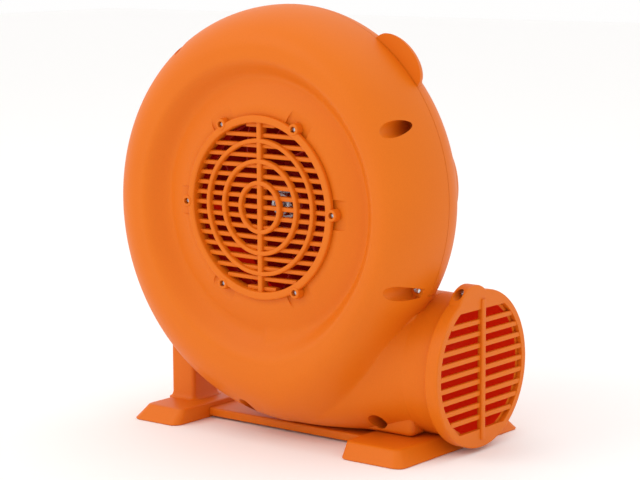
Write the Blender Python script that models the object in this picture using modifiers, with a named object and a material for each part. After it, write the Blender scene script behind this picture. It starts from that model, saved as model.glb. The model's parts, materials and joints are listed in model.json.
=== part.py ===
"""Air blower for inflatables: a scroll housing with a motor-driven impeller, on moulded feet.

Lengths are in metres, +Z is up. Sizes below are measured from three datums: the impeller axis,
the floor, and the plane through the middle of the outlet. FRAME_X and FRAME_Y then move the whole
blower so that the origin lies on the floor under the middle of its outline. The outlet points
along +X and the air intake faces -Y.
"""

import math

import bmesh
import bpy
from mathutils import Matrix

# Housing: a scroll that grows around the impeller axis, and a duct that leads to the outlet.
DRUM_FLOOR_GAP = 0.0091
SCROLL_START_R = 0.1394
SCROLL_GROWTH = 0.0110
TONGUE_ANGLE = -34.0
WALL = 0.0028
SEAM_Y = -0.033
SEAM_GAP = 0.0003
FRONT_DEPTH = 0.053
REAR_DEPTH = 0.053
DISH_EDGE_OUT = 0.032
DISH_EDGE_DROP = 0.012
DISH_FLAT_OUT = 0.0115
DISH_FLAT_DROP = 0.006
CREST_SHARE = 0.42
BACK_FLAT_R = 0.052
FRONT_CAP_R = 0.030
DRUM_STEPS = 48
ARC_STEPS = 4

# Outlet: a round tube whose middle lies at Y = 0, with a guard pushed over its end.
OUTLET_R = 0.0540
OUTLET_FLOOR_GAP = 0.0089
TUBE_REACH = 0.0043
DUCT_FRONT_DEPTH = 0.0790
DUCT_BACK_DEPTH = -0.0020
DUCT_ROUND_LENGTH = 0.0317
DUCT_SQUARENESS = 0.6
DUCT_SEAM_X = 0.030
DUCT_SEAM_MARGIN = 0.003
DUCT_STEPS = 32
DUCT_STATIONS = 5

GUARD_LENGTH = 0.0110
GUARD_NOSE = 0.0039
GUARD_WALL = 0.0060
GUARD_WEB = 0.0030
GUARD_WEB_LAP = 0.0015
GUARD_FLAT = 0.0082
GUARD_SLAT_PITCH = 0.0091
GUARD_SLAT_THICK = 0.0038
GUARD_SLAT_DEPTH = 0.0050
GUARD_RIB_WIDTH = 0.0050
GUARD_RIB_PROUD = 0.0015
GUARD_RIB_END_GAP = 0.0010
SLAT_DROP = 0.0004
LOBE_R = 0.0220
LOBE_RISE = 0.0120
LOBE_ANGLE = 103.0
CLAMP_RISE = 0.0050
CLAMP_BORE_R = 0.0038
CLAMP_SEAT = 0.0060
CLAMP_SCREW_LENGTH = 0.0085

# Intake grille.
INTAKE_R = 0.0640
GRILLE_WALL = 0.0023
GRILLE_RIM_WIDTH = 0.0060
GRILLE_RIM_RISE = 0.0040
GRILLE_SLAT_PITCH = 0.00775
GRILLE_SLAT_THICK = 0.0034
GRILLE_SLAT_DEPTH = 0.0060
GRILLE_RING_RADII = (0.0186, 0.0349, 0.0504)
GRILLE_RING_WIDTH = 0.0035
GRILLE_RING_RISE = 0.0030
GRILLE_BAR_WIDTH = 0.0045
GRILLE_RIM_CHAMFER = 0.0008
GRILLE_SCREW_OUT = 0.0064
GRILLE_SCREW_COUNT = 6
GRILLE_BOSS_R = 0.0045
GRILLE_BOSS_RISE = 0.0046
GRILLE_SEAT_RISE = 0.0012

# Screws: pan heads for plastic, small ones for the grille, and larger ones for the motor.
SCREW_R = 0.0016
SCREW_HEAD_R = 0.0031
SCREW_HEAD_THICK = 0.0022
GRILLE_SCREW_SHANK_R = 0.0012
GRILLE_SCREW_HEAD_R = 0.0021
GRILLE_SCREW_HEAD_THICK = 0.0014
GRILLE_SCREW_LENGTH = 0.0080
MOTOR_SCREW_R = 0.0020
MOTOR_SCREW_HEAD_R = 0.0038
MOTOR_SCREW_HEAD_THICK = 0.0028

# Housing screws, each as (angle on the scroll, distance in from the rim), then one on the duct.
SCROLL_SCREWS = ((29.0, 0.0089), (-25.0, 0.0053), (128.0, 0.0070), (261.0, 0.0113))
DUCT_SCREW_X = 0.083
DUCT_SCREW_RISE = 0.0126
COUNTERBORE_R = 0.0060
BOSS_WALL = 0.0022
REAR_BOSS_WALL = 0.0035
SCREW_SEAT = 0.010
SCREW_HOLE_DEPTH = 0.018
COVER_BOSS_DEPTH = 0.0105
COVER_BOSS_WALL = 0.0030
COVER_HOLE_DEPTH = 0.0075
REAR_BOSS_REACH = 0.0630
SHELL_SCREW_LENGTH = 0.0150

# Grip lug on the rim of the rear shell.
LUG_ANGLE = 50.0
LUG_HEIGHT = 0.0135
LUG_CHORD = 0.050
LUG_DEPTH = 0.020

# Feet and base rail.
PAD_FRONT_Y = -0.0830
PAD_BACK_Y = 0.0770
PAD_HEIGHT = 0.0120
PAD_RUN = 0.0085
PAD_CORNER_R = 0.0080
LEFT_PAD_X = (-0.1340, -0.0865)
RIGHT_PAD_X = (0.0747, 0.1320)
LEG_X = (-0.1270, -0.1030)
LEG_FRONT_Y = -0.0430
LEG_BACK_Y = -0.0120
LEG_TOP_Z = 0.0780
RAIL_BACK_Y = -0.0050
RAIL_Z = (0.0015, 0.0082)

# Skirt under the front of the duct, which stands on the right foot.
SKIRT_X = (0.0400, 0.1120)
SKIRT_FRONT_Y = -0.0400
SKIRT_TOP_Z = 0.0300

# Clearances.
TOUCH_GAP = 0.0003
RUN_GAP = 0.0003
SCREW_GAP = 0.0003
CUT_MARGIN = 0.010
CUT_START = 0.0010
ROOM_START = 0.0005
JOIN_SETBACK = 0.0001

# Impeller.
IMPELLER_R = 0.0980
IMPELLER_BACK_GAP = 0.0135
IMPELLER_FRONT_Y = -0.0640
IMPELLER_PLATE = 0.0024
IMPELLER_HUB_R = 0.0140
IMPELLER_HUB_Y = -0.0470
HUB_CONE_R = 0.0308
HUB_SHOULDER_R = 0.0168
HUB_CONE_LENGTH = 0.0120
IMPELLER_BLADES = 11
BLADE_INNER_R = 0.0420
BLADE_SWEEP = 38.0
BLADE_THICK = 0.0018
BLADE_TIP_GAP = 0.0006
BLADE_CURVE = 0.8
BLADE_STEPS = 4
BUSH_R = 0.0080
BUSH_LENGTH = 0.0280
WASHER_R = 0.0115
WASHER_THICK = 0.0016
NUT_R = 0.0115
NUT_THICK = 0.0070

# Motor. Its places run back from the face of the rear shell.
SHAFT_R = 0.0040
SHAFT_FRONT_Y = -0.0600
SHAFT_TAIL = 0.0125
SHAFT_CHAMFER = 0.0008
MOTOR_R = 0.0420
MOTOR_WALL = 0.0035
MOTOR_PLATE = 0.0040
MOTOR_LENGTH = 0.0650
STATOR_START = 0.0220
STATOR_LENGTH = 0.0260
STATOR_BORE_R = 0.0245
AIR_GAP = 0.0005
CORE_SETBACK = 0.0005
WINDING_INNER_R = 0.0260
WINDING_OUTER_R = 0.0375
WINDING_REACH = 0.0110
WINDING_CHAMFER = 0.0030
BEARING_R = 0.0110
BEARING_WIDTH = 0.0070
BEARING_BOSS_R = 0.0145
BEARING_LIP_R = 0.0075
BEARING_DEPTH = 0.0077
PILOT_R = 0.0160
MOTOR_SCREW_PCD_R = 0.0330
MOTOR_SCREW_LENGTH = 0.0120
MOTOR_BOSS_R = 0.0045
MOTOR_BOSS_RISE = 0.0045
SEAL_GAP = 0.0008
FAN_START = 0.0015
FAN_R = 0.0360
FAN_PLATE = 0.0016
FAN_BLADE_HEIGHT = 0.0075
FAN_BLADES = 9
FAN_HUB_R = 0.0090
FAN_HUB_LAP = 0.0015
FAN_TIP_GAP = 0.0005
FAN_SWEEP = 12.0
FAN_BLADE_THICK = 0.0016

# Motor cover with its switch and cable box.
COVER_R = 0.0620
COVER_WALL = 0.0025
COVER_ROOM = 0.0200
COVER_ROUND = 0.0150
COVER_SCREW_OUT = 0.0040
COVER_EAR_R = 0.0060
COVER_EAR_THICK = 0.0040
COVER_SCREW_LENGTH = 0.0100
VENT_PITCH = 0.0110
VENT_WIDTH = 0.0040
VENT_FIELD_R = 0.0400
VENT_BRIDGE = 0.0040
BOX_REACH = 0.0190
BOX_DEPTH = 0.0550
BOX_HALF_HEIGHT = 0.0240
BOX_INNER_X = -0.0300
DOME_STEPS = 3

SWITCH_START = 0.0320
SWITCH_HALF_HEIGHT = 0.0094
SWITCH_HALF_WIDTH = 0.0064
SWITCH_DEPTH = 0.0140
SWITCH_LIP = 0.0021
SWITCH_FLANGE = 0.0020
SWITCH_FRAME = 0.0019
SWITCH_ROOM = 0.0060
ROCKER_SINK = 0.0010
ROCKER_HALF_HEIGHT = 0.0066
ROCKER_HALF_WIDTH = 0.0041
ROCKER_THICK = 0.0040
ROCKER_TILT = 7.0

GLAND_OUT = 0.0070
GLAND_START = 0.0200
GLAND_TAPER_SHARE = 0.75
GLAND_LIP = 0.0015
GLAND_STUB_R = 0.0060
GLAND_BORE_R = 0.0033
GLAND_HEX_R = 0.0090
GLAND_HEX_HEIGHT = 0.0080
GLAND_NOSE = 0.0080
GLAND_NUT_HEIGHT = 0.0040

CAPACITOR_SIZE = (0.0300, 0.0380, 0.0120)
CAPACITOR_START = 0.0340

# Places that follow from the sizes above.
AXIS_Z = DRUM_FLOOR_GAP + SCROLL_START_R + SCROLL_GROWTH * 3.0
INTAKE_Y = SEAM_Y - FRONT_DEPTH
DISH_Y = INTAKE_Y + DISH_FLAT_DROP
BACK_Y = SEAM_Y + REAR_DEPTH
MOUNT_Y = BACK_Y + TOUCH_GAP
DISH_EDGE_R = INTAKE_R + DISH_EDGE_OUT
DISH_FLAT_R = INTAKE_R + DISH_FLAT_OUT
GRILLE_RIM_R = INTAKE_R + GRILLE_RIM_WIDTH
GRILLE_SCREW_R = INTAKE_R + GRILLE_SCREW_OUT
IMPELLER_EYE_R = INTAKE_R
IMPELLER_BACK_Y = BACK_Y - IMPELLER_BACK_GAP
OUTLET_Z = OUTLET_FLOOR_GAP + OUTLET_R
TUBE_END_X = SCROLL_START_R + TUBE_REACH
DUCT_BLEND_X = TUBE_END_X - DUCT_ROUND_LENGTH
DUCT_SCREW_Z = OUTLET_FLOOR_GAP + DUCT_SCREW_RISE
GUARD_FACE_X = TUBE_END_X + GUARD_NOSE
GUARD_OUTER_R = OUTLET_R + GUARD_WALL
GUARD_WINDOW_HALF = OUTLET_R - GUARD_FLAT
LOBE_OUT = OUTLET_R + LOBE_RISE
STATOR_FRONT_Y = BACK_Y + STATOR_START
STATOR_BACK_Y = STATOR_FRONT_Y + STATOR_LENGTH
MOTOR_BACK_Y = BACK_Y + MOTOR_LENGTH
SHAFT_BACK_Y = MOTOR_BACK_Y + SHAFT_TAIL
COVER_BACK_Y = MOTOR_BACK_Y + COVER_ROOM
COVER_SCREW_R = COVER_R + COVER_SCREW_OUT
BOX_FACE_X = -(COVER_R + BOX_REACH)
BOX_BACK_Y = BACK_Y + BOX_DEPTH
SWITCH_Y = BACK_Y + SWITCH_START
GLAND_X = -(COVER_R + GLAND_OUT)
GLAND_Y = BACK_Y + GLAND_START
CAPACITOR_Y = BACK_Y + CAPACITOR_START
SCROLL_LEFT = SCROLL_START_R + SCROLL_GROWTH * 2.0
RIGHT_END_X = GUARD_FACE_X + GUARD_RIB_PROUD
FRAME_X = (SCROLL_LEFT - RIGHT_END_X) / 2.0
FRAME_Y = -(INTAKE_Y + COVER_BACK_Y) / 2.0

FACING_Y = (-math.pi / 2.0, 0.0, 0.0)
FACING_X = (0.0, math.pi / 2.0, 0.0)


for old in list(bpy.data.objects):
    bpy.data.objects.remove(old)

parts = bpy.data.collections.new("inflatable_blower")
cutters = bpy.data.collections.new("cutters")
bpy.context.scene.collection.children.link(parts)
bpy.context.scene.collection.children.link(cutters)


def make_material(name, colour, roughness, metallic=0.0):
    material = bpy.data.materials.new(name)
    material.use_nodes = True
    shader = material.node_tree.nodes["Principled BSDF"]
    shader.inputs["Base Color"].default_value = (*colour, 1.0)
    shader.inputs["Roughness"].default_value = roughness
    shader.inputs["Metallic"].default_value = metallic
    return material


ORANGE = make_material("orange_plastic", (0.85, 0.21, 0.02), 0.42)
RED = make_material("red_nylon", (0.25, 0.02, 0.01), 0.5)
BLACK = make_material("black_plastic", (0.02, 0.02, 0.02), 0.4)
STEEL = make_material("zinc_steel", (0.62, 0.62, 0.62), 0.32, 1.0)
CAST = make_material("cast_aluminium", (0.55, 0.56, 0.58), 0.5, 1.0)
LAMINATION = make_material("lamination_steel", (0.30, 0.31, 0.33), 0.45, 1.0)
COPPER = make_material("enamelled_copper", (0.55, 0.20, 0.08), 0.35, 0.8)
WHITE = make_material("white_case", (0.75, 0.75, 0.72), 0.5)
FELT = make_material("felt", (0.08, 0.08, 0.08), 0.9)


def place(name, mesh, material, spot=(0.0, 0.0, 0.0), turn=(0.0, 0.0, 0.0)):
    """A visible piece. Its spot is measured from the datums."""
    piece = bpy.data.objects.new(name, mesh)
    piece.location = (FRAME_X + spot[0], FRAME_Y + spot[1], spot[2])
    piece.rotation_euler = turn
    mesh.materials.clear()
    mesh.materials.append(material)
    parts.objects.link(piece)
    return piece


def guide(name, mesh, spot=(0.0, 0.0, 0.0), turn=(0.0, 0.0, 0.0)):
    """A hidden shape that cuts or joins."""
    shape = bpy.data.objects.new(name, mesh)
    shape.location = (FRAME_X + spot[0], FRAME_Y + spot[1], spot[2])
    shape.rotation_euler = turn
    shape.hide_render = True
    shape.display_type = "WIRE"
    cutters.objects.link(shape)
    return shape


def boolean(piece, other, operation):
    modifier = piece.modifiers.new(operation.lower(), "BOOLEAN")
    modifier.operation = operation
    modifier.object = other
    modifier.solver = "EXACT"


def cut(piece, *others):
    for other in others:
        boolean(piece, other, "DIFFERENCE")


def join(piece, *others):
    for other in others:
        boolean(piece, other, "UNION")


def finish(build, name):
    mesh = bpy.data.meshes.new(name)
    bmesh.ops.recalc_face_normals(build, faces=build.faces)
    build.to_mesh(mesh)
    build.free()
    mesh.shade_smooth()
    mesh.set_sharp_from_angle(angle=math.radians(35.0))
    return mesh


def boxes(name, spans):
    """One mesh of separate boxes, each given as ((x0, x1), (y0, y1), (z0, z1))."""
    build = bmesh.new()
    for span in spans:
        centre = [(low + high) / 2.0 for low, high in span]
        size = [high - low for low, high in span]
        frame = Matrix.Translation(centre) @ Matrix.Diagonal((*size, 1.0))
        bmesh.ops.create_cube(build, size=1.0, matrix=frame)
    return finish(build, name)


def cylinders(name, radius, spots, axis, low, high, segments=24):
    """One mesh of separate cylinders along an axis, from low to high, at the spots in its plane."""
    turns = {"X": Matrix.Rotation(math.pi / 2.0, 4, "Y"), "Y": Matrix.Rotation(-math.pi / 2.0, 4, "X")}
    build = bmesh.new()
    for first, second in spots:
        middle = (low + high) / 2.0
        centre = {"X": (middle, first, second), "Y": (first, middle, second), "Z": (first, second, middle)}
        frame = Matrix.Translation(centre[axis]) @ turns.get(axis, Matrix.Identity(4))
        bmesh.ops.create_cone(
            build, cap_ends=True, segments=segments, radius1=radius, radius2=radius, depth=high - low, matrix=frame
        )
    return finish(build, name)


def loft(name, rings):
    """A closed solid through rings of equal count, with a flat cap at each end."""
    build = bmesh.new()
    rows = [[build.verts.new(point) for point in ring] for ring in rings]
    count = len(rows[0])
    for near, far in zip(rows, rows[1:]):
        for i in range(count):
            j = (i + 1) % count
            build.faces.new((near[i], near[j], far[j], far[i]))
    build.faces.new(rows[0])
    build.faces.new(rows[-1])
    return finish(build, name)


def outline(name, profile, closed):
    """A profile of (radius, height) points for a Screw about Z, its outer side listed top to bottom."""
    mesh = bpy.data.meshes.new(name)
    points = [(radius, 0.0, height) for radius, height in profile]
    edges = [(i, i + 1) for i in range(len(points) - 1)]
    if closed:
        edges.append((len(points) - 1, 0))
    mesh.from_pydata(points, edges, [])
    return mesh


def spin(piece, steps):
    modifier = piece.modifiers.new("turn", "SCREW")
    modifier.axis = "Z"
    modifier.angle = 2.0 * math.pi
    modifier.steps = steps
    modifier.render_steps = steps
    modifier.use_merge_vertices = True
    modifier.merge_threshold = 0.00005
    modifier.use_smooth_shade = False


def place_turned(name, profile, material, spot, turn=FACING_Y, closed=True, steps=32):
    piece = place(name, outline(name, profile, closed), material, spot, turn)
    spin(piece, steps)
    return piece


def guide_turned(name, profile, spot, turn=FACING_Y, closed=True, steps=32):
    shape = guide(name, outline(name, profile, closed), spot, turn)
    spin(shape, steps)
    return shape


def ring_profile(inner, outer, low, high):
    return [(inner, high), (outer, high), (outer, low), (inner, low)]


def disc_profile(radius, low, high):
    return [(0.0, high), (radius, high), (radius, low), (0.0, low)]


def around(count, radius, start=0.0):
    """Points on a circle in the XZ plane about the impeller axis."""
    steps = [math.radians(start + 360.0 * i / count) for i in range(count)]
    return [(radius * math.cos(a), AXIS_Z + radius * math.sin(a)) for a in steps]


# ---- Housing -----------------------------------------------------------------


def smooth(t):
    t = min(max(t, 0.0), 1.0)
    return t * t * (3.0 - 2.0 * t)


def scroll_radius(angle):
    """Outline radius at an angle in degrees from +X towards +Z, between the tongue and one turn on."""
    bottom = SCROLL_START_R + SCROLL_GROWTH * 3.0
    if angle <= 270.0:
        return SCROLL_START_R + SCROLL_GROWTH * angle / 90.0
    tongue = SCROLL_START_R + SCROLL_GROWTH * TONGUE_ANGLE / 90.0
    share = smooth((angle - 270.0) / (90.0 + TONGUE_ANGLE))
    return bottom + (tongue - bottom) * share


def drum_profile(rim, inset):
    """(radius, Y) points from the intake face round the rim to the back face."""
    crest = DISH_EDGE_R + CREST_SHARE * (rim - DISH_EDGE_R)
    front = INTAKE_Y + inset
    points = [(FRONT_CAP_R, front + DISH_FLAT_DROP), (DISH_FLAT_R, front + DISH_FLAT_DROP)]
    for share in (0.0, 0.25, 0.5, 0.75):
        drop = DISH_EDGE_DROP * (1.0 - smooth(share / 0.75))
        points.append((DISH_EDGE_R + (crest - DISH_EDGE_R) * share, front + drop))
    for step in range(ARC_STEPS, -1, -1):
        turn = math.pi / 2.0 * step / ARC_STEPS
        reach = rim - inset - crest
        points.append((crest + reach * math.cos(turn), SEAM_Y - (FRONT_DEPTH - inset) * math.sin(turn)))
    for step in range(1, ARC_STEPS + 1):
        turn = math.pi / 2.0 * step / ARC_STEPS
        reach = rim - inset - BACK_FLAT_R
        points.append((BACK_FLAT_R + reach * math.cos(turn), SEAM_Y + (REAR_DEPTH - inset) * math.sin(turn)))
    return points


def drum(name, inset):
    angles = [TONGUE_ANGLE + 360.0 * i / DRUM_STEPS for i in range(DRUM_STEPS)]
    profiles = [drum_profile(scroll_radius(angle), inset) for angle in angles]
    rings = []
    for level in range(len(profiles[0])):
        ring = []
        for angle, profile in zip(angles, profiles):
            radius, y = profile[level]
            turn = math.radians(angle)
            ring.append((radius * math.cos(turn), y, AXIS_Z + radius * math.sin(turn)))
        rings.append(ring)
    return loft(name, rings)


def duct_ring(x, inset):
    """A section of the duct: deep by the drum, squarish on the way, round at the outlet.

    Its widest plane moves from the drum's seam to the middle of the outlet.
    """
    share = smooth(x / DUCT_BLEND_X)
    widest = SEAM_Y * (1.0 - share)
    front = -DUCT_FRONT_DEPTH + (DUCT_FRONT_DEPTH - OUTLET_R) * share + inset
    back = DUCT_BACK_DEPTH + (OUTLET_R - DUCT_BACK_DEPTH) * share - inset
    power = 2.0 / (2.0 + DUCT_SQUARENESS * math.sin(math.pi * min(x / DUCT_BLEND_X, 1.0)))
    ring = []
    for i in range(DUCT_STEPS):
        turn = 2.0 * math.pi * (i + 0.5) / DUCT_STEPS
        reach = back - widest if math.cos(turn) > 0.0 else widest - front
        y = math.copysign(abs(math.cos(turn)) ** power, math.cos(turn))
        z = math.copysign(abs(math.sin(turn)) ** power, math.sin(turn))
        ring.append((x, widest + reach * y, OUTLET_Z + (OUTLET_R - inset) * z))
    return ring


def duct(name, inset, end):
    stations = [DUCT_BLEND_X * i / DUCT_STATIONS for i in range(DUCT_STATIONS + 1)] + [end]
    return loft(name, [duct_ring(x, inset) for x in stations])


def polar(angle, radius):
    turn = math.radians(angle)
    return (radius * math.cos(turn), AXIS_Z + radius * math.sin(turn))


scroll_screw_spots = [polar(angle, scroll_radius(angle) - inset) for angle, inset in SCROLL_SCREWS]
duct_screw_spots = [(DUCT_SCREW_X, DUCT_SCREW_Z)]
cover_screw_spots = around(4, COVER_SCREW_R, 45.0)
motor_screw_spots = around(4, MOTOR_SCREW_PCD_R, 0.0)
grille_screw_spots = around(GRILLE_SCREW_COUNT, GRILLE_SCREW_R, 0.0)

screw_hole_r = SCREW_R + SCREW_GAP

duct_outer = guide("duct_outer", duct("duct_outer", 0.0, TUBE_END_X))
cavity = guide("cavity", drum("cavity", WALL))
duct_cavity = guide("duct_cavity", duct("duct_cavity", WALL, TUBE_END_X + CUT_MARGIN))
join(cavity, duct_cavity)
boss_r = COUNTERBORE_R + BOSS_WALL
rear_boss_r = SCREW_R + REAR_BOSS_WALL
counterbores = []
shell_holes = []
for group, spots, seam in (("scroll", scroll_screw_spots, SEAM_Y), ("duct", duct_screw_spots, 0.0)):
    seat_y = seam - SCREW_SEAT
    front_bosses = guide(
        f"{group}_front_bosses",
        cylinders(f"{group}_front_bosses", boss_r, spots, "Y", INTAKE_Y - CUT_MARGIN, seam),
    )
    rear_bosses = guide(
        f"{group}_rear_bosses",
        cylinders(f"{group}_rear_bosses", rear_boss_r, spots, "Y", seam - CUT_START, seam + REAR_BOSS_REACH, 12),
    )
    join(front_bosses, rear_bosses)
    cut(cavity, front_bosses)
    counterbores.append(
        guide(
            f"{group}_counterbores",
            cylinders(f"{group}_counterbores", COUNTERBORE_R, spots, "Y", INTAKE_Y - CUT_MARGIN, seat_y, 14),
        )
    )
    shell_holes.append(
        guide(
            f"{group}_holes",
            cylinders(f"{group}_holes", screw_hole_r, spots, "Y", seat_y - CUT_START, seat_y + SCREW_HOLE_DEPTH, 12),
        )
    )
cover_boss_r = SCREW_R + COVER_BOSS_WALL
cover_boss_y = BACK_Y - COVER_BOSS_DEPTH
cover_bosses = guide(
    "cover_bosses",
    cylinders("cover_bosses", cover_boss_r, cover_screw_spots, "Y", cover_boss_y, BACK_Y + CUT_MARGIN, 12),
)
cut(cavity, cover_bosses)

# The shells part at the drum's seam, and beside the duct at the middle of the outlet.
reach = SCROLL_START_R + SCROLL_GROWTH * 4.0
step_top = OUTLET_Z + OUTLET_R + DUCT_SEAM_MARGIN


def half_space(name, front, gap):
    """Everything before or behind the parting, with its edge moved back by the gap."""
    y = SEAM_Y + gap
    span_y = (-reach, y) if front else (y, reach)
    space = guide(name, boxes(name, [((-reach, reach), span_y, (-CUT_MARGIN, AXIS_Z + reach))]))
    step_x = (DUCT_SEAM_X - gap, reach + CUT_MARGIN)
    step_span = (step_x, (SEAM_Y - CUT_MARGIN, gap), (-CUT_MARGIN * 2.0, step_top + gap))
    step = guide(f"{name}_step", boxes(f"{name}_step", [step_span]))
    if front:
        join(space, step)
    else:
        cut(space, step)
    return space


behind_seam = half_space("behind_seam", False, -SEAM_GAP / 2.0)
before_seam = half_space("before_seam", True, SEAM_GAP / 2.0)

front_shell = place("front_shell", drum("front_shell", 0.0), ORANGE)
skirt_span = (SKIRT_X, (SKIRT_FRONT_Y, -SEAM_GAP), (PAD_HEIGHT + TOUCH_GAP, SKIRT_TOP_Z))
duct_skirt = guide("duct_skirt", boxes("duct_skirt", [skirt_span]))
join(front_shell, duct_outer, duct_skirt)
cut(front_shell, cavity, behind_seam)
intake_hole_r = INTAKE_R + GRILLE_WALL + TOUCH_GAP
intake_hole = guide(
    "intake_hole", cylinders("intake_hole", intake_hole_r, [(0.0, AXIS_Z)], "Y", INTAKE_Y - CUT_MARGIN, SEAM_Y, 48)
)
grille_hole_r = GRILLE_SCREW_SHANK_R + SCREW_GAP
grille_holes = guide(
    "grille_holes",
    cylinders("grille_holes", grille_hole_r, grille_screw_spots, "Y", DISH_Y - CUT_MARGIN, DISH_Y + CUT_MARGIN, 12),
)
cut(front_shell, intake_hole, *counterbores, *shell_holes, grille_holes)

rear_shell = place("rear_shell", drum("rear_shell", 0.0), ORANGE)
lug_spot = polar(LUG_ANGLE, scroll_radius(LUG_ANGLE))
lug_frame = Matrix.Translation((lug_spot[0], SEAM_Y, lug_spot[1]))
lug_frame = lug_frame @ Matrix.Rotation(math.radians(90.0 - LUG_ANGLE), 4, "Y")
lug_build = bmesh.new()
bmesh.ops.create_uvsphere(
    lug_build,
    u_segments=24,
    v_segments=12,
    radius=1.0,
    matrix=lug_frame @ Matrix.Diagonal((LUG_CHORD / 2.0, LUG_DEPTH, LUG_HEIGHT, 1.0)),
)
grip_lug = guide("grip_lug", finish(lug_build, "grip_lug"))
join(rear_shell, duct_outer, grip_lug)
cut(rear_shell, cavity, before_seam)
inside_y = BACK_Y - WALL - CUT_MARGIN
pilot_hole = guide(
    "pilot_hole", cylinders("pilot_hole", PILOT_R, [(0.0, AXIS_Z)], "Y", inside_y, BACK_Y + CUT_MARGIN, 32)
)
cover_hole_y = BACK_Y - COVER_HOLE_DEPTH
cover_holes = guide(
    "cover_holes",
    cylinders("cover_holes", screw_hole_r, cover_screw_spots, "Y", cover_hole_y, MOUNT_Y + CUT_MARGIN, 12),
)
motor_hole_r = MOTOR_SCREW_R + SCREW_GAP
motor_hole_end = MOUNT_Y + MOTOR_SCREW_LENGTH
motor_holes = guide(
    "motor_holes", cylinders("motor_holes", motor_hole_r, motor_screw_spots, "Y", inside_y, motor_hole_end, 10)
)
cut(rear_shell, pilot_hole, *shell_holes, cover_holes, motor_holes)


# ---- Screws --------------------------------------------------------------------


def screw(name, spot, seat_y, length, shank=SCREW_R, head=SCREW_HEAD_R, thick=SCREW_HEAD_THICK):
    """A pan-head screw along Y whose head sits on seat_y, with a cross recess left to the finish."""
    profile = [
        (0.0, length),
        (shank, length - shank),
        (shank, 0.0),
        (head, 0.0),
        (head * 0.85, -thick),
        (0.0, -thick),
    ]
    return place_turned(name, profile, STEEL, (spot[0], seat_y - TOUCH_GAP, spot[1]), FACING_Y, False, 10)


for number, spot in enumerate(scroll_screw_spots, 1):
    screw(f"shell_screw_{number}", spot, SEAM_Y - SCREW_SEAT, SHELL_SCREW_LENGTH)
for number, spot in enumerate(duct_screw_spots, 1):
    screw(f"duct_screw_{number}", spot, -SCREW_SEAT, SHELL_SCREW_LENGTH)
grille_seat_y = DISH_Y - GRILLE_SEAT_RISE
for number, spot in enumerate(grille_screw_spots, 1):
    screw(
        f"grille_screw_{number}",
        spot,
        grille_seat_y,
        GRILLE_SCREW_LENGTH,
        GRILLE_SCREW_SHANK_R,
        GRILLE_SCREW_HEAD_R,
        GRILLE_SCREW_HEAD_THICK,
    )


# ---- Intake grille -------------------------------------------------------------

rim_front = DISH_Y - GRILLE_RIM_RISE
slat_front = DISH_Y + SLAT_DROP
slat_back = slat_front + GRILLE_SLAT_DEPTH
seat = DISH_Y - TOUCH_GAP
sleeve_r = INTAKE_R + GRILLE_WALL
rim_profile = [
    (INTAKE_R, slat_back),
    (sleeve_r, slat_back),
    (sleeve_r, seat),
    (GRILLE_RIM_R, seat),
    (GRILLE_RIM_R, rim_front + GRILLE_RIM_CHAMFER),
    (GRILLE_RIM_R - GRILLE_RIM_CHAMFER, rim_front),
    (INTAKE_R + GRILLE_RIM_CHAMFER, rim_front),
    (INTAKE_R, rim_front + GRILLE_RIM_CHAMFER),
]
grille = place_turned("intake_grille", rim_profile, ORANGE, (0.0, 0.0, AXIS_Z), steps=48)
slat_spans = []
slat_count = int(INTAKE_R / GRILLE_SLAT_PITCH)
slat_end_r = INTAKE_R + GRILLE_WALL * 0.6
for number in range(-slat_count, slat_count + 1):
    z = number * GRILLE_SLAT_PITCH
    half = math.sqrt(slat_end_r**2 - (abs(z) + GRILLE_SLAT_THICK / 2.0) ** 2)
    span_z = (AXIS_Z + z - GRILLE_SLAT_THICK / 2.0, AXIS_Z + z + GRILLE_SLAT_THICK / 2.0)
    slat_spans.append(((-half, half), (slat_front, slat_back), span_z))
grille_slats = guide("grille_slats", boxes("grille_slats", slat_spans))
bar_half = INTAKE_R + GRILLE_WALL * 0.5
ring_front = slat_front - GRILLE_RING_RISE
grille_bar = guide(
    "grille_bar",
    boxes(
        "grille_bar",
        [
            (
                (-GRILLE_BAR_WIDTH / 2.0, GRILLE_BAR_WIDTH / 2.0),
                (ring_front + SLAT_DROP, slat_back - TOUCH_GAP),
                (AXIS_Z - bar_half, AXIS_Z + bar_half),
            )
        ],
    ),
)
boss_front = DISH_Y - GRILLE_BOSS_RISE
boss_back = seat - JOIN_SETBACK
grille_bosses = guide(
    "grille_bosses", cylinders("grille_bosses", GRILLE_BOSS_R, grille_screw_spots, "Y", boss_front, boss_back, 14)
)
join(grille, grille_slats, grille_bar)
for number, radius in enumerate(GRILLE_RING_RADII, 1):
    profile = ring_profile(
        radius - GRILLE_RING_WIDTH / 2.0, radius + GRILLE_RING_WIDTH / 2.0, ring_front, slat_front + CUT_START
    )
    join(grille, guide_turned(f"grille_ring_{number}", profile, (0.0, 0.0, AXIS_Z), steps=25))
join(grille, grille_bosses)
grille_bores = guide(
    "grille_bores",
    cylinders("grille_bores", grille_hole_r, grille_screw_spots, "Y", DISH_Y - CUT_MARGIN, DISH_Y + CUT_START, 12),
)
head_r = GRILLE_SCREW_HEAD_R + SCREW_GAP
head_rooms = guide(
    "grille_head_rooms",
    cylinders("grille_head_rooms", head_r, grille_screw_spots, "Y", DISH_Y - CUT_MARGIN, grille_seat_y, 16),
)
cut(grille, grille_bores, head_rooms)


# ---- Outlet guard --------------------------------------------------------------

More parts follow.
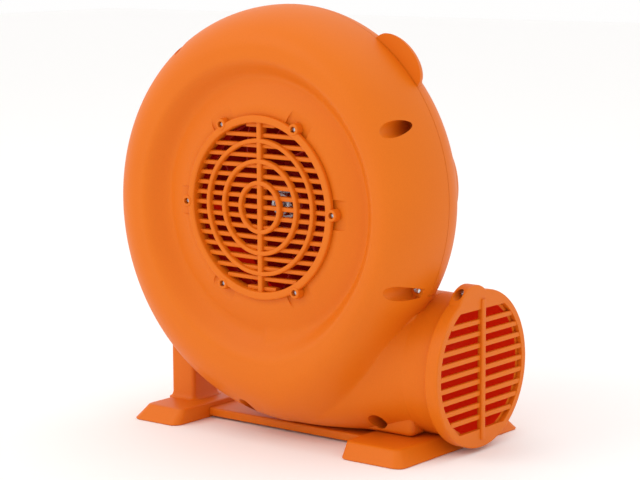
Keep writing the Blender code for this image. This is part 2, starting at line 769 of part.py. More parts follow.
guard_back_x = GUARD_FACE_X - GUARD_LENGTH
guard_bore_r = OUTLET_R + TOUCH_GAP
collar = ring_profile(guard_bore_r, GUARD_OUTER_R, guard_back_x, GUARD_FACE_X)
guard = place_turned("outlet_guard", collar, ORANGE, (0.0, 0.0, OUTLET_Z), FACING_X, steps=48)
lobe_turn = math.radians(LOBE_ANGLE)
lobe_centre = LOBE_OUT - LOBE_R
lobe_spot = (lobe_centre * math.cos(lobe_turn), OUTLET_Z + lobe_centre * math.sin(lobe_turn))
lobe = guide("guard_lobe", cylinders("guard_lobe", LOBE_R, [lobe_spot], "X", guard_back_x, GUARD_FACE_X, 32))
guard_bore = guide(
    "guard_bore",
    cylinders(
        "guard_bore",
        guard_bore_r,
        [(0.0, OUTLET_Z)],
        "X",
        guard_back_x - CUT_MARGIN,
        GUARD_FACE_X + CUT_MARGIN,
        48,
    ),
)
join(guard, lobe)
cut(guard, guard_bore)
web_r = guard_bore_r + GUARD_WEB_LAP
web = guide(
    "guard_web", cylinders("guard_web", web_r, [(0.0, OUTLET_Z)], "X", GUARD_FACE_X - GUARD_WEB, GUARD_FACE_X, 48)
)
window = guide(
    "guard_window",
    boxes(
        "guard_window",
        [
            (
                (GUARD_FACE_X - CUT_MARGIN, GUARD_FACE_X + CUT_MARGIN),
                (-GUARD_OUTER_R, GUARD_OUTER_R),
                (OUTLET_Z - GUARD_WINDOW_HALF, OUTLET_Z + GUARD_WINDOW_HALF),
            )
        ],
    ),
)
cut(web, window)
guard_slats = []
guard_half_count = int(GUARD_WINDOW_HALF / GUARD_SLAT_PITCH - 0.5)
for number in range(-guard_half_count, guard_half_count + 1):
    z = number * GUARD_SLAT_PITCH
    half = math.sqrt(web_r**2 - (abs(z) + GUARD_SLAT_THICK / 2.0) ** 2) - ROOM_START
    span_z = (OUTLET_Z + z - GUARD_SLAT_THICK / 2.0, OUTLET_Z + z + GUARD_SLAT_THICK / 2.0)
    span_x = (TUBE_END_X + TOUCH_GAP, GUARD_FACE_X - SLAT_DROP)
    guard_slats.append((span_x, (-half, half), span_z))
slats = guide("guard_slats", boxes("guard_slats", guard_slats))
rib = guide(
    "guard_rib",
    boxes(
        "guard_rib",
        [
            (
                (TUBE_END_X + TOUCH_GAP * 2.0, RIGHT_END_X),
                (-GUARD_RIB_WIDTH / 2.0, GUARD_RIB_WIDTH / 2.0),
                (OUTLET_Z - guard_bore_r + ROOM_START, OUTLET_Z + guard_bore_r - GUARD_RIB_END_GAP),
            )
        ],
    ),
)
join(guard, web, slats, rib)
clamp_spot = (GUARD_FACE_X - GUARD_LENGTH / 2.0, OUTLET_Z + OUTLET_R + CLAMP_RISE)
clamp_seat_y = lobe_spot[0] - CLAMP_SEAT
clamp_start_y = clamp_seat_y - LOBE_R * 2.0
clamp_bore = guide(
    "clamp_bore", cylinders("clamp_bore", CLAMP_BORE_R, [clamp_spot], "Y", clamp_start_y, clamp_seat_y, 20)
)
clamp_end_y = clamp_seat_y + CLAMP_SCREW_LENGTH + CUT_START
clamp_hole = guide(
    "clamp_hole",
    cylinders("clamp_hole", screw_hole_r, [clamp_spot], "Y", clamp_seat_y - CUT_START, clamp_end_y, 12),
)
cut(guard, clamp_bore, clamp_hole)
screw("outlet_guard_screw", clamp_spot, clamp_seat_y, CLAMP_SCREW_LENGTH)


# ---- Feet ----------------------------------------------------------------------

keep_out = guide("keep_out", drum("keep_out", -TOUCH_GAP))
duct_keep_out = guide("duct_keep_out", duct("duct_keep_out", -TOUCH_GAP, TUBE_END_X))
keep_out_end = GUARD_FACE_X + CUT_MARGIN
guard_keep_out = guide(
    "guard_keep_out",
    cylinders(
        "guard_keep_out",
        GUARD_OUTER_R + TOUCH_GAP,
        [(0.0, OUTLET_Z)],
        "X",
        guard_back_x - TOUCH_GAP,
        keep_out_end,
        48,
    ),
)


def foot_pad(name, span_x, run_out):
    """A pad with sloped sides. Its outer end slopes too, its inner end stands upright."""
    build = bmesh.new()
    span = (span_x, (PAD_FRONT_Y, PAD_BACK_Y), (0.0, PAD_HEIGHT))
    centre = [(low + high) / 2.0 for low, high in span]
    size = [high - low for low, high in span]
    bmesh.ops.create_cube(build, size=1.0, matrix=Matrix.Translation(centre) @ Matrix.Diagonal((*size, 1.0)))
    for vertex in build.verts:
        if vertex.co.z > PAD_HEIGHT / 2.0:
            vertex.co.y += -PAD_RUN if vertex.co.y > centre[1] else PAD_RUN
            outer = (vertex.co.x > centre[0]) == (run_out > 0.0)
            vertex.co.x -= run_out if outer else 0.0
    upright = [e for e in build.edges if abs(e.verts[0].co.z - e.verts[1].co.z) > PAD_HEIGHT / 2.0]
    bmesh.ops.bevel(build, geom=upright, offset=PAD_CORNER_R, segments=4, affect="EDGES", profile=0.5)
    return place(name, finish(build, name), ORANGE)


left_foot = foot_pad("left_foot", LEFT_PAD_X, -PAD_RUN)
leg = guide("leg", boxes("leg", [(LEG_X, (LEG_FRONT_Y, LEG_BACK_Y), (PAD_HEIGHT / 2.0, LEG_TOP_Z))]))
join(left_foot, leg)
cut(left_foot, keep_out)
right_foot = foot_pad("right_foot", RIGHT_PAD_X, PAD_RUN)
cut(right_foot, duct_keep_out, guard_keep_out)
rail_span = ((LEFT_PAD_X[1] + TOUCH_GAP, RIGHT_PAD_X[0] - TOUCH_GAP), (LEG_FRONT_Y, RAIL_BACK_Y), RAIL_Z)
place("base_rail", boxes("base_rail", [rail_span]), ORANGE)


# ---- Impeller ------------------------------------------------------------------

bore_r = SHAFT_R + RUN_GAP
bush_seat_y = IMPELLER_HUB_Y + BUSH_LENGTH + TOUCH_GAP
hub_profile = [
    (bore_r, IMPELLER_BACK_Y),
    (IMPELLER_R, IMPELLER_BACK_Y),
    (IMPELLER_R, IMPELLER_BACK_Y - IMPELLER_PLATE),
    (HUB_CONE_R, IMPELLER_BACK_Y - IMPELLER_PLATE),
    (HUB_SHOULDER_R, IMPELLER_BACK_Y - IMPELLER_PLATE - HUB_CONE_LENGTH),
    (IMPELLER_HUB_R, IMPELLER_HUB_Y),
    (BUSH_R + TOUCH_GAP, IMPELLER_HUB_Y),
    (BUSH_R + TOUCH_GAP, bush_seat_y),
    (bore_r, bush_seat_y),
]
impeller = place_turned("impeller", hub_profile, RED, (0.0, 0.0, AXIS_Z), steps=44)
shroud = guide_turned(
    "shroud",
    ring_profile(IMPELLER_EYE_R, IMPELLER_R, IMPELLER_FRONT_Y, IMPELLER_FRONT_Y + IMPELLER_PLATE),
    (0.0, 0.0, AXIS_Z),
    steps=44,
)


def blade_sheet(name, count, inner, outer, sweep, low, high, thick):
    """Curved blades that sweep back as they go out, as open sheets with a wall on both sides."""
    build = bmesh.new()
    for number in range(count):
        start = 360.0 * number / count
        near = []
        far = []
        for i in range(BLADE_STEPS + 1):
            share = i / BLADE_STEPS
            radius = inner + (outer - inner) * share
            turn = math.radians(start - sweep * share**BLADE_CURVE)
            near.append(build.verts.new((radius * math.cos(turn), low, radius * math.sin(turn))))
            far.append(build.verts.new((radius * math.cos(turn), high, radius * math.sin(turn))))
        for i in range(BLADE_STEPS):
            build.faces.new((near[i], near[i + 1], far[i + 1], far[i]))
    mesh = bpy.data.meshes.new(name)
    build.to_mesh(mesh)
    build.free()
    sheet = guide(name, mesh, (0.0, 0.0, AXIS_Z))
    wall = sheet.modifiers.new("wall", "SOLIDIFY")
    wall.thickness = thick
    wall.offset = 0.0
    return sheet


blades = blade_sheet(
    "blades",
    IMPELLER_BLADES,
    BLADE_INNER_R,
    IMPELLER_R - BLADE_TIP_GAP,
    BLADE_SWEEP,
    IMPELLER_FRONT_Y + IMPELLER_PLATE / 2.0,
    IMPELLER_BACK_Y - IMPELLER_PLATE / 2.0,
    BLADE_THICK,
)
join(impeller, blades, shroud)

place_turned(
    "impeller_bush",
    ring_profile(bore_r, BUSH_R, IMPELLER_HUB_Y, IMPELLER_HUB_Y + BUSH_LENGTH),
    STEEL,
    (0.0, 0.0, AXIS_Z),
    steps=24,
)
washer_y = IMPELLER_HUB_Y - TOUCH_GAP
place_turned(
    "impeller_washer",
    ring_profile(bore_r, WASHER_R, washer_y - WASHER_THICK, washer_y),
    STEEL,
    (0.0, 0.0, AXIS_Z),
    steps=20,
)
nut_y = washer_y - WASHER_THICK - TOUCH_GAP
nut = place(
    "impeller_nut", cylinders("impeller_nut", NUT_R, [(0.0, AXIS_Z)], "Y", nut_y - NUT_THICK, nut_y, 6), STEEL
)
nut_bore = guide(
    "nut_bore", cylinders("nut_bore", bore_r, [(0.0, AXIS_Z)], "Y", nut_y - CUT_MARGIN, nut_y + CUT_MARGIN, 20)
)
cut(nut, nut_bore)


# ---- Motor ---------------------------------------------------------------------

place_turned(
    "motor_shaft",
    [
        (0.0, SHAFT_BACK_Y),
        (SHAFT_R - SHAFT_CHAMFER, SHAFT_BACK_Y),
        (SHAFT_R, SHAFT_BACK_Y - SHAFT_CHAMFER),
        (SHAFT_R, SHAFT_FRONT_Y + SHAFT_CHAMFER),
        (SHAFT_R - SHAFT_CHAMFER, SHAFT_FRONT_Y),
        (0.0, SHAFT_FRONT_Y),
    ],
    STEEL,
    (0.0, 0.0, AXIS_Z),
    closed=False,
    steps=24,
)
front_plate_y = MOUNT_Y + MOTOR_PLATE
cup_r = MOTOR_R - MOTOR_WALL
pocket_r = BEARING_R + TOUCH_GAP
front_bracket = place_turned(
    "motor_front_bracket",
    [
        (cup_r, STATOR_FRONT_Y - TOUCH_GAP),
        (MOTOR_R, STATOR_FRONT_Y - TOUCH_GAP),
        (MOTOR_R, MOUNT_Y),
        (BEARING_LIP_R, MOUNT_Y),
        (BEARING_LIP_R, front_plate_y),
        (pocket_r, front_plate_y),
        (pocket_r, front_plate_y + BEARING_DEPTH),
        (BEARING_BOSS_R, front_plate_y + BEARING_DEPTH),
        (BEARING_BOSS_R, front_plate_y),
        (cup_r, front_plate_y),
    ],
    CAST,
    (0.0, 0.0, AXIS_Z),
)
boss_start = front_plate_y - MOTOR_PLATE / 2.0
boss_end = front_plate_y + MOTOR_BOSS_RISE
bracket_bosses = guide(
    "bracket_bosses", cylinders("bracket_bosses", MOTOR_BOSS_R, motor_screw_spots, "Y", boss_start, boss_end, 10)
)
join(front_bracket, bracket_bosses)
cut(front_bracket, motor_holes)
rear_plate_y = MOTOR_BACK_Y - MOTOR_PLATE
place_turned(
    "motor_rear_bracket",
    [
        (MOTOR_R, MOTOR_BACK_Y),
        (MOTOR_R, STATOR_BACK_Y + TOUCH_GAP),
        (cup_r, STATOR_BACK_Y + TOUCH_GAP),
        (cup_r, rear_plate_y),
        (BEARING_BOSS_R, rear_plate_y),
        (BEARING_BOSS_R, rear_plate_y - BEARING_DEPTH),
        (pocket_r, rear_plate_y - BEARING_DEPTH),
        (pocket_r, rear_plate_y),
        (BEARING_LIP_R, rear_plate_y),
        (BEARING_LIP_R, MOTOR_BACK_Y),
    ],
    CAST,
    (0.0, 0.0, AXIS_Z),
)
place_turned(
    "stator_core",
    ring_profile(STATOR_BORE_R, MOTOR_R, STATOR_FRONT_Y, STATOR_BACK_Y),
    LAMINATION,
    (0.0, 0.0, AXIS_Z),
)
place_turned(
    "rotor_core",
    ring_profile(bore_r, STATOR_BORE_R - AIR_GAP, STATOR_FRONT_Y + CORE_SETBACK, STATOR_BACK_Y - CORE_SETBACK),
    LAMINATION,
    (0.0, 0.0, AXIS_Z),
    steps=32,
)


def winding(name, near, far):
    """A bundle of wire with round shoulders, between two Y values."""
    low = min(near, far)
    high = max(near, far)
    chamfer = WINDING_CHAMFER
    profile = [
        (WINDING_INNER_R + chamfer, high),
        (WINDING_OUTER_R - chamfer, high),
        (WINDING_OUTER_R, high - chamfer),
        (WINDING_OUTER_R, low + chamfer),
        (WINDING_OUTER_R - chamfer, low),
        (WINDING_INNER_R + chamfer, low),
        (WINDING_INNER_R, low + chamfer),
        (WINDING_INNER_R, high - chamfer),
    ]
    place_turned(name, profile, COPPER, (0.0, 0.0, AXIS_Z), steps=32)


winding("front_winding", STATOR_FRONT_Y - TOUCH_GAP, STATOR_FRONT_Y - WINDING_REACH)
winding("rear_winding", STATOR_BACK_Y + TOUCH_GAP, STATOR_BACK_Y + WINDING_REACH)


def bearing(name, low):
    profile = ring_profile(bore_r, BEARING_R, low, low + BEARING_WIDTH)
    place_turned(name, profile, STEEL, (0.0, 0.0, AXIS_Z), steps=32)


bearing("front_bearing", front_plate_y + TOUCH_GAP)
bearing("rear_bearing", rear_plate_y - TOUCH_GAP - BEARING_WIDTH)
place_turned(
    "shaft_seal",
    ring_profile(SHAFT_R + SEAL_GAP, PILOT_R - TOUCH_GAP, BACK_Y - WALL, BACK_Y),
    FELT,
    (0.0, 0.0, AXIS_Z),
    steps=32,
)

fan_y = MOTOR_BACK_Y + FAN_START
fan_profile = [
    (bore_r, fan_y + FAN_PLATE + FAN_BLADE_HEIGHT),
    (FAN_HUB_R, fan_y + FAN_PLATE + FAN_BLADE_HEIGHT),
    (FAN_HUB_R, fan_y + FAN_PLATE),
    (FAN_R, fan_y + FAN_PLATE),
    (FAN_R, fan_y),
    (bore_r, fan_y),
]
cooling_fan = place_turned("cooling_fan", fan_profile, BLACK, (0.0, 0.0, AXIS_Z), steps=32)
fan_blades = blade_sheet(
    "fan_blades",
    FAN_BLADES,
    FAN_HUB_R - FAN_HUB_LAP,
    FAN_R - FAN_TIP_GAP,
    FAN_SWEEP,
    fan_y + FAN_PLATE / 2.0,
    fan_y + FAN_PLATE + FAN_BLADE_HEIGHT - TOUCH_GAP,
    FAN_BLADE_THICK,
)
join(cooling_fan, fan_blades)

for number, spot in enumerate(motor_screw_spots, 1):
    screw(
        f"motor_screw_{number}",
        spot,
        BACK_Y - WALL,
        MOTOR_SCREW_LENGTH,
        MOTOR_SCREW_R,
        MOTOR_SCREW_HEAD_R,
        MOTOR_SCREW_HEAD_THICK,
    )


# ---- Motor cover ---------------------------------------------------------------


def dome(inset, low):
    """The cover's outline as a solid: a straight skirt and a rounded back edge."""
    radius = COVER_R - inset
    high = COVER_BACK_Y - inset
    corner = COVER_ROUND - inset
    points = [(0.0, high)]
    for step in range(DOME_STEPS + 1):
        turn = math.pi / 2.0 * (1.0 - step / DOME_STEPS)
        points.append((radius - corner + corner * math.cos(turn), high - corner + corner * math.sin(turn)))
    points.append((radius, low))
    points.append((0.0, low))
    return points


cover = place_turned("motor_cover", dome(0.0, MOUNT_Y), ORANGE, (0.0, 0.0, AXIS_Z), closed=False, steps=40)
box_span_z = (AXIS_Z - BOX_HALF_HEIGHT, AXIS_Z + BOX_HALF_HEIGHT)
box_span = ((BOX_FACE_X, BOX_INNER_X), (MOUNT_Y, BOX_BACK_Y), box_span_z)
switch_box = guide("switch_box", boxes("switch_box", [box_span]))
ears = guide(
    "cover_ears",
    cylinders("cover_ears", COVER_EAR_R, cover_screw_spots, "Y", MOUNT_Y, MOUNT_Y + COVER_EAR_THICK, 16),
)
join(cover, switch_box, ears)
cover_cavity = guide_turned(
    "cover_cavity", dome(COVER_WALL, MOUNT_Y - CUT_MARGIN), (0.0, 0.0, AXIS_Z), closed=False, steps=40
)
box_cavity = guide(
    "box_cavity",
    boxes(
        "box_cavity",
        [
            (
                (BOX_FACE_X + COVER_WALL, BOX_INNER_X - ROOM_START),
                (MOUNT_Y - CUT_MARGIN, BOX_BACK_Y - COVER_WALL),
                (AXIS_Z - BOX_HALF_HEIGHT + COVER_WALL, AXIS_Z + BOX_HALF_HEIGHT - COVER_WALL),
            )
        ],
    ),
)
join(cover_cavity, box_cavity)
cut(cover, cover_cavity)
vent_spans = []
vent_count = int(VENT_FIELD_R / VENT_PITCH)
for number in range(-vent_count, vent_count + 1):
    z = number * VENT_PITCH
    half = math.sqrt(VENT_FIELD_R**2 - z**2)
    span_z = (AXIS_Z + z - VENT_WIDTH / 2.0, AXIS_Z + z + VENT_WIDTH / 2.0)
    for side in (-1.0, 1.0):
        ends = sorted((side * VENT_BRIDGE / 2.0, side * half))
        vent_spans.append((tuple(ends), (COVER_BACK_Y - CUT_MARGIN, COVER_BACK_Y + CUT_MARGIN), span_z))
vents = guide("vents", boxes("vents", vent_spans))
switch_cutout = guide(
    "switch_cutout",
    boxes(
        "switch_cutout",
        [
            (
                (BOX_FACE_X - CUT_MARGIN, BOX_FACE_X + CUT_MARGIN),
                (SWITCH_Y - SWITCH_HALF_WIDTH - TOUCH_GAP, SWITCH_Y + SWITCH_HALF_WIDTH + TOUCH_GAP),
                (AXIS_Z - SWITCH_HALF_HEIGHT - TOUCH_GAP, AXIS_Z + SWITCH_HALF_HEIGHT + TOUCH_GAP),
            )
        ],
    ),
)
box_floor_z = AXIS_Z - BOX_HALF_HEIGHT
gland_hole = guide(
    "gland_hole",
    cylinders(
        "gland_hole",
        GLAND_STUB_R + TOUCH_GAP,
        [(GLAND_X, GLAND_Y)],
        "Z",
        box_floor_z - CUT_MARGIN / 2.0,
        box_floor_z + CUT_MARGIN / 2.0,
        24,
    ),
)
cut(cover, vents, switch_cutout, gland_hole, cover_holes)
for number, spot in enumerate(cover_screw_spots, 1):
    profile_y = MOUNT_Y + COVER_EAR_THICK
    length = COVER_SCREW_LENGTH
    profile = [
        (0.0, SCREW_HEAD_THICK),
        (SCREW_HEAD_R * 0.85, SCREW_HEAD_THICK),
        (SCREW_HEAD_R, 0.0),
        (SCREW_R, 0.0),
        (SCREW_R, SCREW_R - length),
        (0.0, -length),
    ]
    place_turned(
        f"cover_screw_{number}", profile, STEEL, (spot[0], profile_y + TOUCH_GAP, spot[1]), closed=False, steps=10
    )


# ---- Switch, gland and capacitor -------------------------------------------------

flange_x = BOX_FACE_X - TOUCH_GAP
switch_housing = place(
    "switch_housing",
    boxes(
        "switch_housing",
        [
            (
                (flange_x - SWITCH_FLANGE, flange_x),
                (SWITCH_Y - SWITCH_HALF_WIDTH - SWITCH_LIP, SWITCH_Y + SWITCH_HALF_WIDTH + SWITCH_LIP),
                (AXIS_Z - SWITCH_HALF_HEIGHT - SWITCH_LIP, AXIS_Z + SWITCH_HALF_HEIGHT + SWITCH_LIP),
            )
        ],
    ),
    BLACK,
)
switch_body = guide(
    "switch_body",
    boxes(
        "switch_body",
        [
            (
                (flange_x - SWITCH_FLANGE / 2.0, flange_x + SWITCH_DEPTH),
                (SWITCH_Y - SWITCH_HALF_WIDTH, SWITCH_Y + SWITCH_HALF_WIDTH),
                (AXIS_Z - SWITCH_HALF_HEIGHT, AXIS_Z + SWITCH_HALF_HEIGHT),
            )
        ],
    ),
)
rocker_room = guide(
    "rocker_room",
    boxes(
        "rocker_room",
        [
            (
                (flange_x - SWITCH_FLANGE - CUT_MARGIN, flange_x + SWITCH_ROOM),
                (SWITCH_Y - SWITCH_HALF_WIDTH + SWITCH_FRAME, SWITCH_Y + SWITCH_HALF_WIDTH - SWITCH_FRAME),
                (AXIS_Z - SWITCH_HALF_HEIGHT + SWITCH_FRAME, AXIS_Z + SWITCH_HALF_HEIGHT - SWITCH_FRAME),
            )
        ],
    ),
)
join(switch_housing, switch_body)
cut(switch_housing, rocker_room)

rocker_build = bmesh.new()
rocker_frame = Matrix.Rotation(math.radians(ROCKER_TILT), 4, "Y")
bmesh.ops.create_cube(
    rocker_build,
    size=1.0,
    matrix=Matrix.Diagonal((ROCKER_THICK, ROCKER_HALF_WIDTH * 2.0, ROCKER_HALF_HEIGHT * 2.0, 1.0)),
)
centre_line = [e for e in rocker_build.edges if abs(e.verts[0].co.z - e.verts[1].co.z) > ROCKER_HALF_HEIGHT]
bmesh.ops.subdivide_edges(rocker_build, edges=centre_line, cuts=1)
for vertex in rocker_build.verts:
    if vertex.co.x < 0.0 and abs(vertex.co.z) < ROCKER_HALF_HEIGHT / 2.0:
        vertex.co.x += math.tan(math.radians(ROCKER_TILT)) * ROCKER_HALF_HEIGHT
bmesh.ops.transform(rocker_build, matrix=rocker_frame, verts=rocker_build.verts)
rocker_x = flange_x - ROCKER_SINK
place(
    "switch_rocker", finish(rocker_build, "switch_rocker"), BLACK, (rocker_x, SWITCH_Y, AXIS_Z)
)

stub_top = COVER_WALL + GLAND_NUT_HEIGHT + GLAND_LIP
gland_profile = [
    (GLAND_BORE_R, stub_top),
    (GLAND_STUB_R, stub_top),
    (GLAND_STUB_R, -TOUCH_GAP),
    (GLAND_HEX_R, -TOUCH_GAP),
    (GLAND_HEX_R, -TOUCH_GAP - GLAND_HEX_HEIGHT),
    (GLAND_HEX_R * GLAND_TAPER_SHARE, -GLAND_HEX_HEIGHT - GLAND_NOSE * GLAND_TAPER_SHARE),
    (GLAND_BORE_R + GLAND_LIP, -GLAND_HEX_HEIGHT - GLAND_NOSE),
    (GLAND_BORE_R, -GLAND_HEX_HEIGHT - GLAND_NOSE),
]
place_turned(
    "cable_gland", gland_profile, BLACK, (GLAND_X, GLAND_Y, box_floor_z), (0.0, 0.0, 0.0), steps=24
)
place_turned(
    "gland_nut",
    ring_profile(
        GLAND_STUB_R + TOUCH_GAP, GLAND_HEX_R, COVER_WALL + TOUCH_GAP, COVER_WALL + TOUCH_GAP + GLAND_NUT_HEIGHT
    ),
    BLACK,
    (GLAND_X, GLAND_Y, box_floor_z),
    (0.0, 0.0, 0.0),
    steps=24,
)

cap_x, cap_y, cap_z = (size / 2.0 for size in CAPACITOR_SIZE)
cap_low = AXIS_Z + MOTOR_R + TOUCH_GAP
place(
    "capacitor",
    boxes(
        "capacitor",
        [((-cap_x, cap_x), (CAPACITOR_Y - cap_y, CAPACITOR_Y + cap_y), (cap_low, cap_low + cap_z * 2.0))],
    ),
    WHITE,
)
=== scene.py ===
import json
import math

import bmesh
import bpy
import numpy as np
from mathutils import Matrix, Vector


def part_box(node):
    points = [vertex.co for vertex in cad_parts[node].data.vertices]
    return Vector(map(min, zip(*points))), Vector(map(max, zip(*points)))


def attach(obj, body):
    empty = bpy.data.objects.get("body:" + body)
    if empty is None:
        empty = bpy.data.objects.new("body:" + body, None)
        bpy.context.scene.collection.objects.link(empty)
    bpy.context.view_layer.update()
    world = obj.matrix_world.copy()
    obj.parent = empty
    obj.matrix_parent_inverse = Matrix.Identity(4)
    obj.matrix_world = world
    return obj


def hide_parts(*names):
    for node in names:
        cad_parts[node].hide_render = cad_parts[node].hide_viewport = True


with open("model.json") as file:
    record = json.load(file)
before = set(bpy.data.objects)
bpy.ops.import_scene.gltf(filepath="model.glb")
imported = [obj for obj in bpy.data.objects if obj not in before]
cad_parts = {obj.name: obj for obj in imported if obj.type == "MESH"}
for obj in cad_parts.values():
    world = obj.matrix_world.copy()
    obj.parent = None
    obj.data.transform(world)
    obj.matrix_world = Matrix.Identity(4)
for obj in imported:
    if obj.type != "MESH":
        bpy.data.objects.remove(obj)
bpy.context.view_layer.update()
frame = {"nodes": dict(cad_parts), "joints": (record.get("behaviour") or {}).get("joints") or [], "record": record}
nodes = frame["nodes"]

# Everything below is in metres from three datums: the impeller axis across, the middle of the
# outlet in depth, the floor in height. The spin joint says where they lie in the frame.
spinJoint = next(joint for joint in frame["joints"] if joint["name"] == "impeller_spin")
axisX, axisY, axisZ = spinJoint["pos_m"]
datum = np.array([axisX, axisY, 0.0])
print("frame loaded:", len(nodes), "nodes")


# helpers: grids of points to meshes, and solid cuts

past = 0.01  # a cut runs on this far beyond the face it opens
overlap = 0.001  # parts that are joined run this far into each other


def smoothStep(t):
    t = np.clip(t, 0.0, 1.0)
    return t * t * (3.0 - 2.0 * t)


def softMax(a, b, width):
    # the larger of a and b, lifted by up to a quarter of the width where they are nearly equal
    near = np.maximum(width - np.abs(a - b), 0.0)
    return np.maximum(a, b) + near * near / (4.0 * np.maximum(width, 1e-9))


def gridQuads(rows, columns, closeRows, closeColumns):
    r = np.arange(rows if closeRows else rows - 1)[:, None]
    c = np.arange(columns if closeColumns else columns - 1)[None, :]
    nextR = (r + 1) % rows
    nextC = (c + 1) % columns
    corners = (r * columns + c, nextR * columns + c, nextR * columns + nextC, r * columns + nextC)
    return np.stack(np.broadcast_arrays(*corners), -1).reshape(-1, 4)


def makeSolid(name, grids, closeRows=False, closeColumns=True, weld=2e-6):
    # each grid is rows x columns x 3; rows that shrink to a point are poles and get welded
    points = []
    quads = []
    count = 0
    for grid in grids:
        rows, columns = grid.shape[:2]
        points.append(grid.reshape(-1, 3) + datum)
        quads.append(gridQuads(rows, columns, closeRows, closeColumns) + count)
        count += rows * columns
    mesh = bpy.data.meshes.new(name)
    mesh.from_pydata(np.concatenate(points), [], np.concatenate(quads))
    build = bmesh.new()
    build.from_mesh(mesh)
    bmesh.ops.remove_doubles(build, verts=build.verts, dist=weld)
    stray = [edge for edge in build.edges if not edge.link_faces]
    bmesh.ops.delete(build, geom=stray, context="EDGES")
    bmesh.ops.recalc_face_normals(build, faces=build.faces)
    build.to_mesh(mesh)
    build.free()
    solid = bpy.data.objects.new(name, mesh)
    bpy.context.scene.collection.objects.link(solid)
    return solid


def solidOp(target, other, operation, keep=False):
    # an exact join or cut, applied at once
    modifier = target.modifiers.new("op", "BOOLEAN")
    modifier.operation = operation
    modifier.solver = "EXACT"
    modifier.object = other
    done = bpy.data.meshes.new_from_object(target.evaluated_get(bpy.context.evaluated_depsgraph_get()))
    target.modifiers.clear()
    old = target.data
    target.data = done
    bpy.data.meshes.remove(old)
    if not keep:
        bpy.data.objects.remove(other)
    return target


def joinTo(target, *others):
    for other in others:
        solidOp(target, other, "UNION")
    return target


def cutFrom(target, *others):
    for other in others:
        solidOp(target, other, "DIFFERENCE")
    return target


def copyOf(solid, name):
    twin = bpy.data.objects.new(name, solid.data.copy())
    bpy.context.scene.collection.objects.link(twin)
    return twin


def finishPiece(piece, name, material, body, replaced, sharpAngle=32.0):
    # smooth shading up to an angle, then who it rides on, its finish and what it stands for
    piece.name = name
    piece.data.name = name
    if len(piece.data.materials) < 2:
        piece.data.materials.clear()
        piece.data.materials.append(material)
        piece.data.polygons.foreach_set("material_index", np.zeros(len(piece.data.polygons), dtype=np.int32))
    piece.data.shade_smooth()
    piece.data.set_sharp_from_angle(angle=math.radians(sharpAngle))
    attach(piece, body)
    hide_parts(*replaced)
    return piece


def softCorners(points, radius, steps=5):
    # each corner of a closed outline becomes a parabola between its two edges
    points = np.asarray(points, float)
    radius = np.broadcast_to(np.asarray(radius, float), len(points))
    before = np.roll(points, 1, 0) - points
    after = np.roll(points, -1, 0) - points
    lengthIn = np.linalg.norm(before, axis=1)
    lengthOut = np.linalg.norm(after, axis=1)
    start = points + before * (np.minimum(radius, lengthIn * 0.48) / lengthIn)[:, None]
    end = points + after * (np.minimum(radius, lengthOut * 0.48) / lengthOut)[:, None]
    t = np.linspace(0.0, 1.0, steps)[None, :, None]
    arcs = (1 - t) ** 2 * start[:, None] + 2 * t * (1 - t) * points[:, None] + t ** 2 * end[:, None]
    return arcs.reshape(-1, 2)


def turned(profile, centre, axis="Y", steps=96):
    # a closed (radius, height) outline carried round an axis
    profile = np.asarray(profile, float)
    turn = np.linspace(0.0, 2.0 * np.pi, steps, endpoint=False)[:, None]
    r = profile[None, :, 0]
    h = profile[None, :, 1] + 0.0 * turn
    a = r * np.cos(turn)
    b = r * np.sin(turn)
    order = {"X": (h, a, b), "Y": (a, h, b), "Z": (a, b, h)}
    return np.stack(order[axis], -1) + np.asarray(centre)


def makeTurned(name, profile, centre, axis="Y", steps=96):
    return makeSolid(name, [turned(profile, centre, axis, steps)], closeRows=True, closeColumns=True)


def block(centre, halves, corner, layers=None, axis="Z", steps=6):
    # a rounded rectangle carried along an axis; a layer is (how far it draws in, height)
    halfU, halfV, halfW = halves
    if layers is None:
        turn = np.linspace(0.0, np.pi / 2, 4)
        edge = min(corner, halfW) * 0.8
        layers = [(edge * (1 - math.sin(t)), -halfW + edge * (1 - math.cos(t))) for t in turn]
        layers += [(inset, -height) for inset, height in reversed(layers)]
    inset = np.array([layer[0] for layer in layers])[:, None]
    w = np.array([layer[1] for layer in layers])[:, None]
    radius = np.maximum(corner - inset, 1e-5)
    turn = np.concatenate([np.linspace(q, q + 1, steps) for q in range(4)])[None, :] * np.pi / 2
    side = np.repeat([[1, 1], [-1, 1], [-1, -1], [1, -1]], steps, axis=0)
    u = side[None, :, 0] * (halfU - inset - radius) + radius * np.cos(turn)
    v = side[None, :, 1] * (halfV - inset - radius) + radius * np.sin(turn)
    w = w + 0.0 * turn
    u, v, w = (np.concatenate([g[:1] * pole, g, g[-1:] * pole]) for g, pole in ((u, 0), (v, 0), (w, 1)))
    order = {"X": (w, u, v), "Y": (u, w, v), "Z": (u, v, w)}
    return np.stack(order[axis], -1) + np.asarray(centre)


def closeEnds(rows):
    # the first and the last row each get a pole in their middle
    first = rows[:1].mean(1, keepdims=True) + 0.0 * rows[:1]
    last = rows[-1:].mean(1, keepdims=True) + 0.0 * rows[-1:]
    return np.concatenate([first, rows, last])


def rod(spot, radius, low, high, axis="Y", steps=32):
    outline = [(0.0, low), (radius, low), (radius, high), (0.0, high)]
    centre = {"X": (0.0, *spot), "Y": (spot[0], 0.0, spot[1]), "Z": (*spot, 0.0)}[axis]
    return turned(outline, centre, axis, steps)


def makeRods(name, spots, radius, low, high, axis="Y", steps=32):
    grids = [rod(spot, radius, low, high, axis, steps) for spot in spots]
    return makeSolid(name, grids, closeRows=True, closeColumns=True)


def around(count, radius, startAngle=0.0):
    turn = np.radians(startAngle + 360.0 * np.arange(count) / count)
    return list(zip(radius * np.cos(turn), axisZ + radius * np.sin(turn)))


# materials

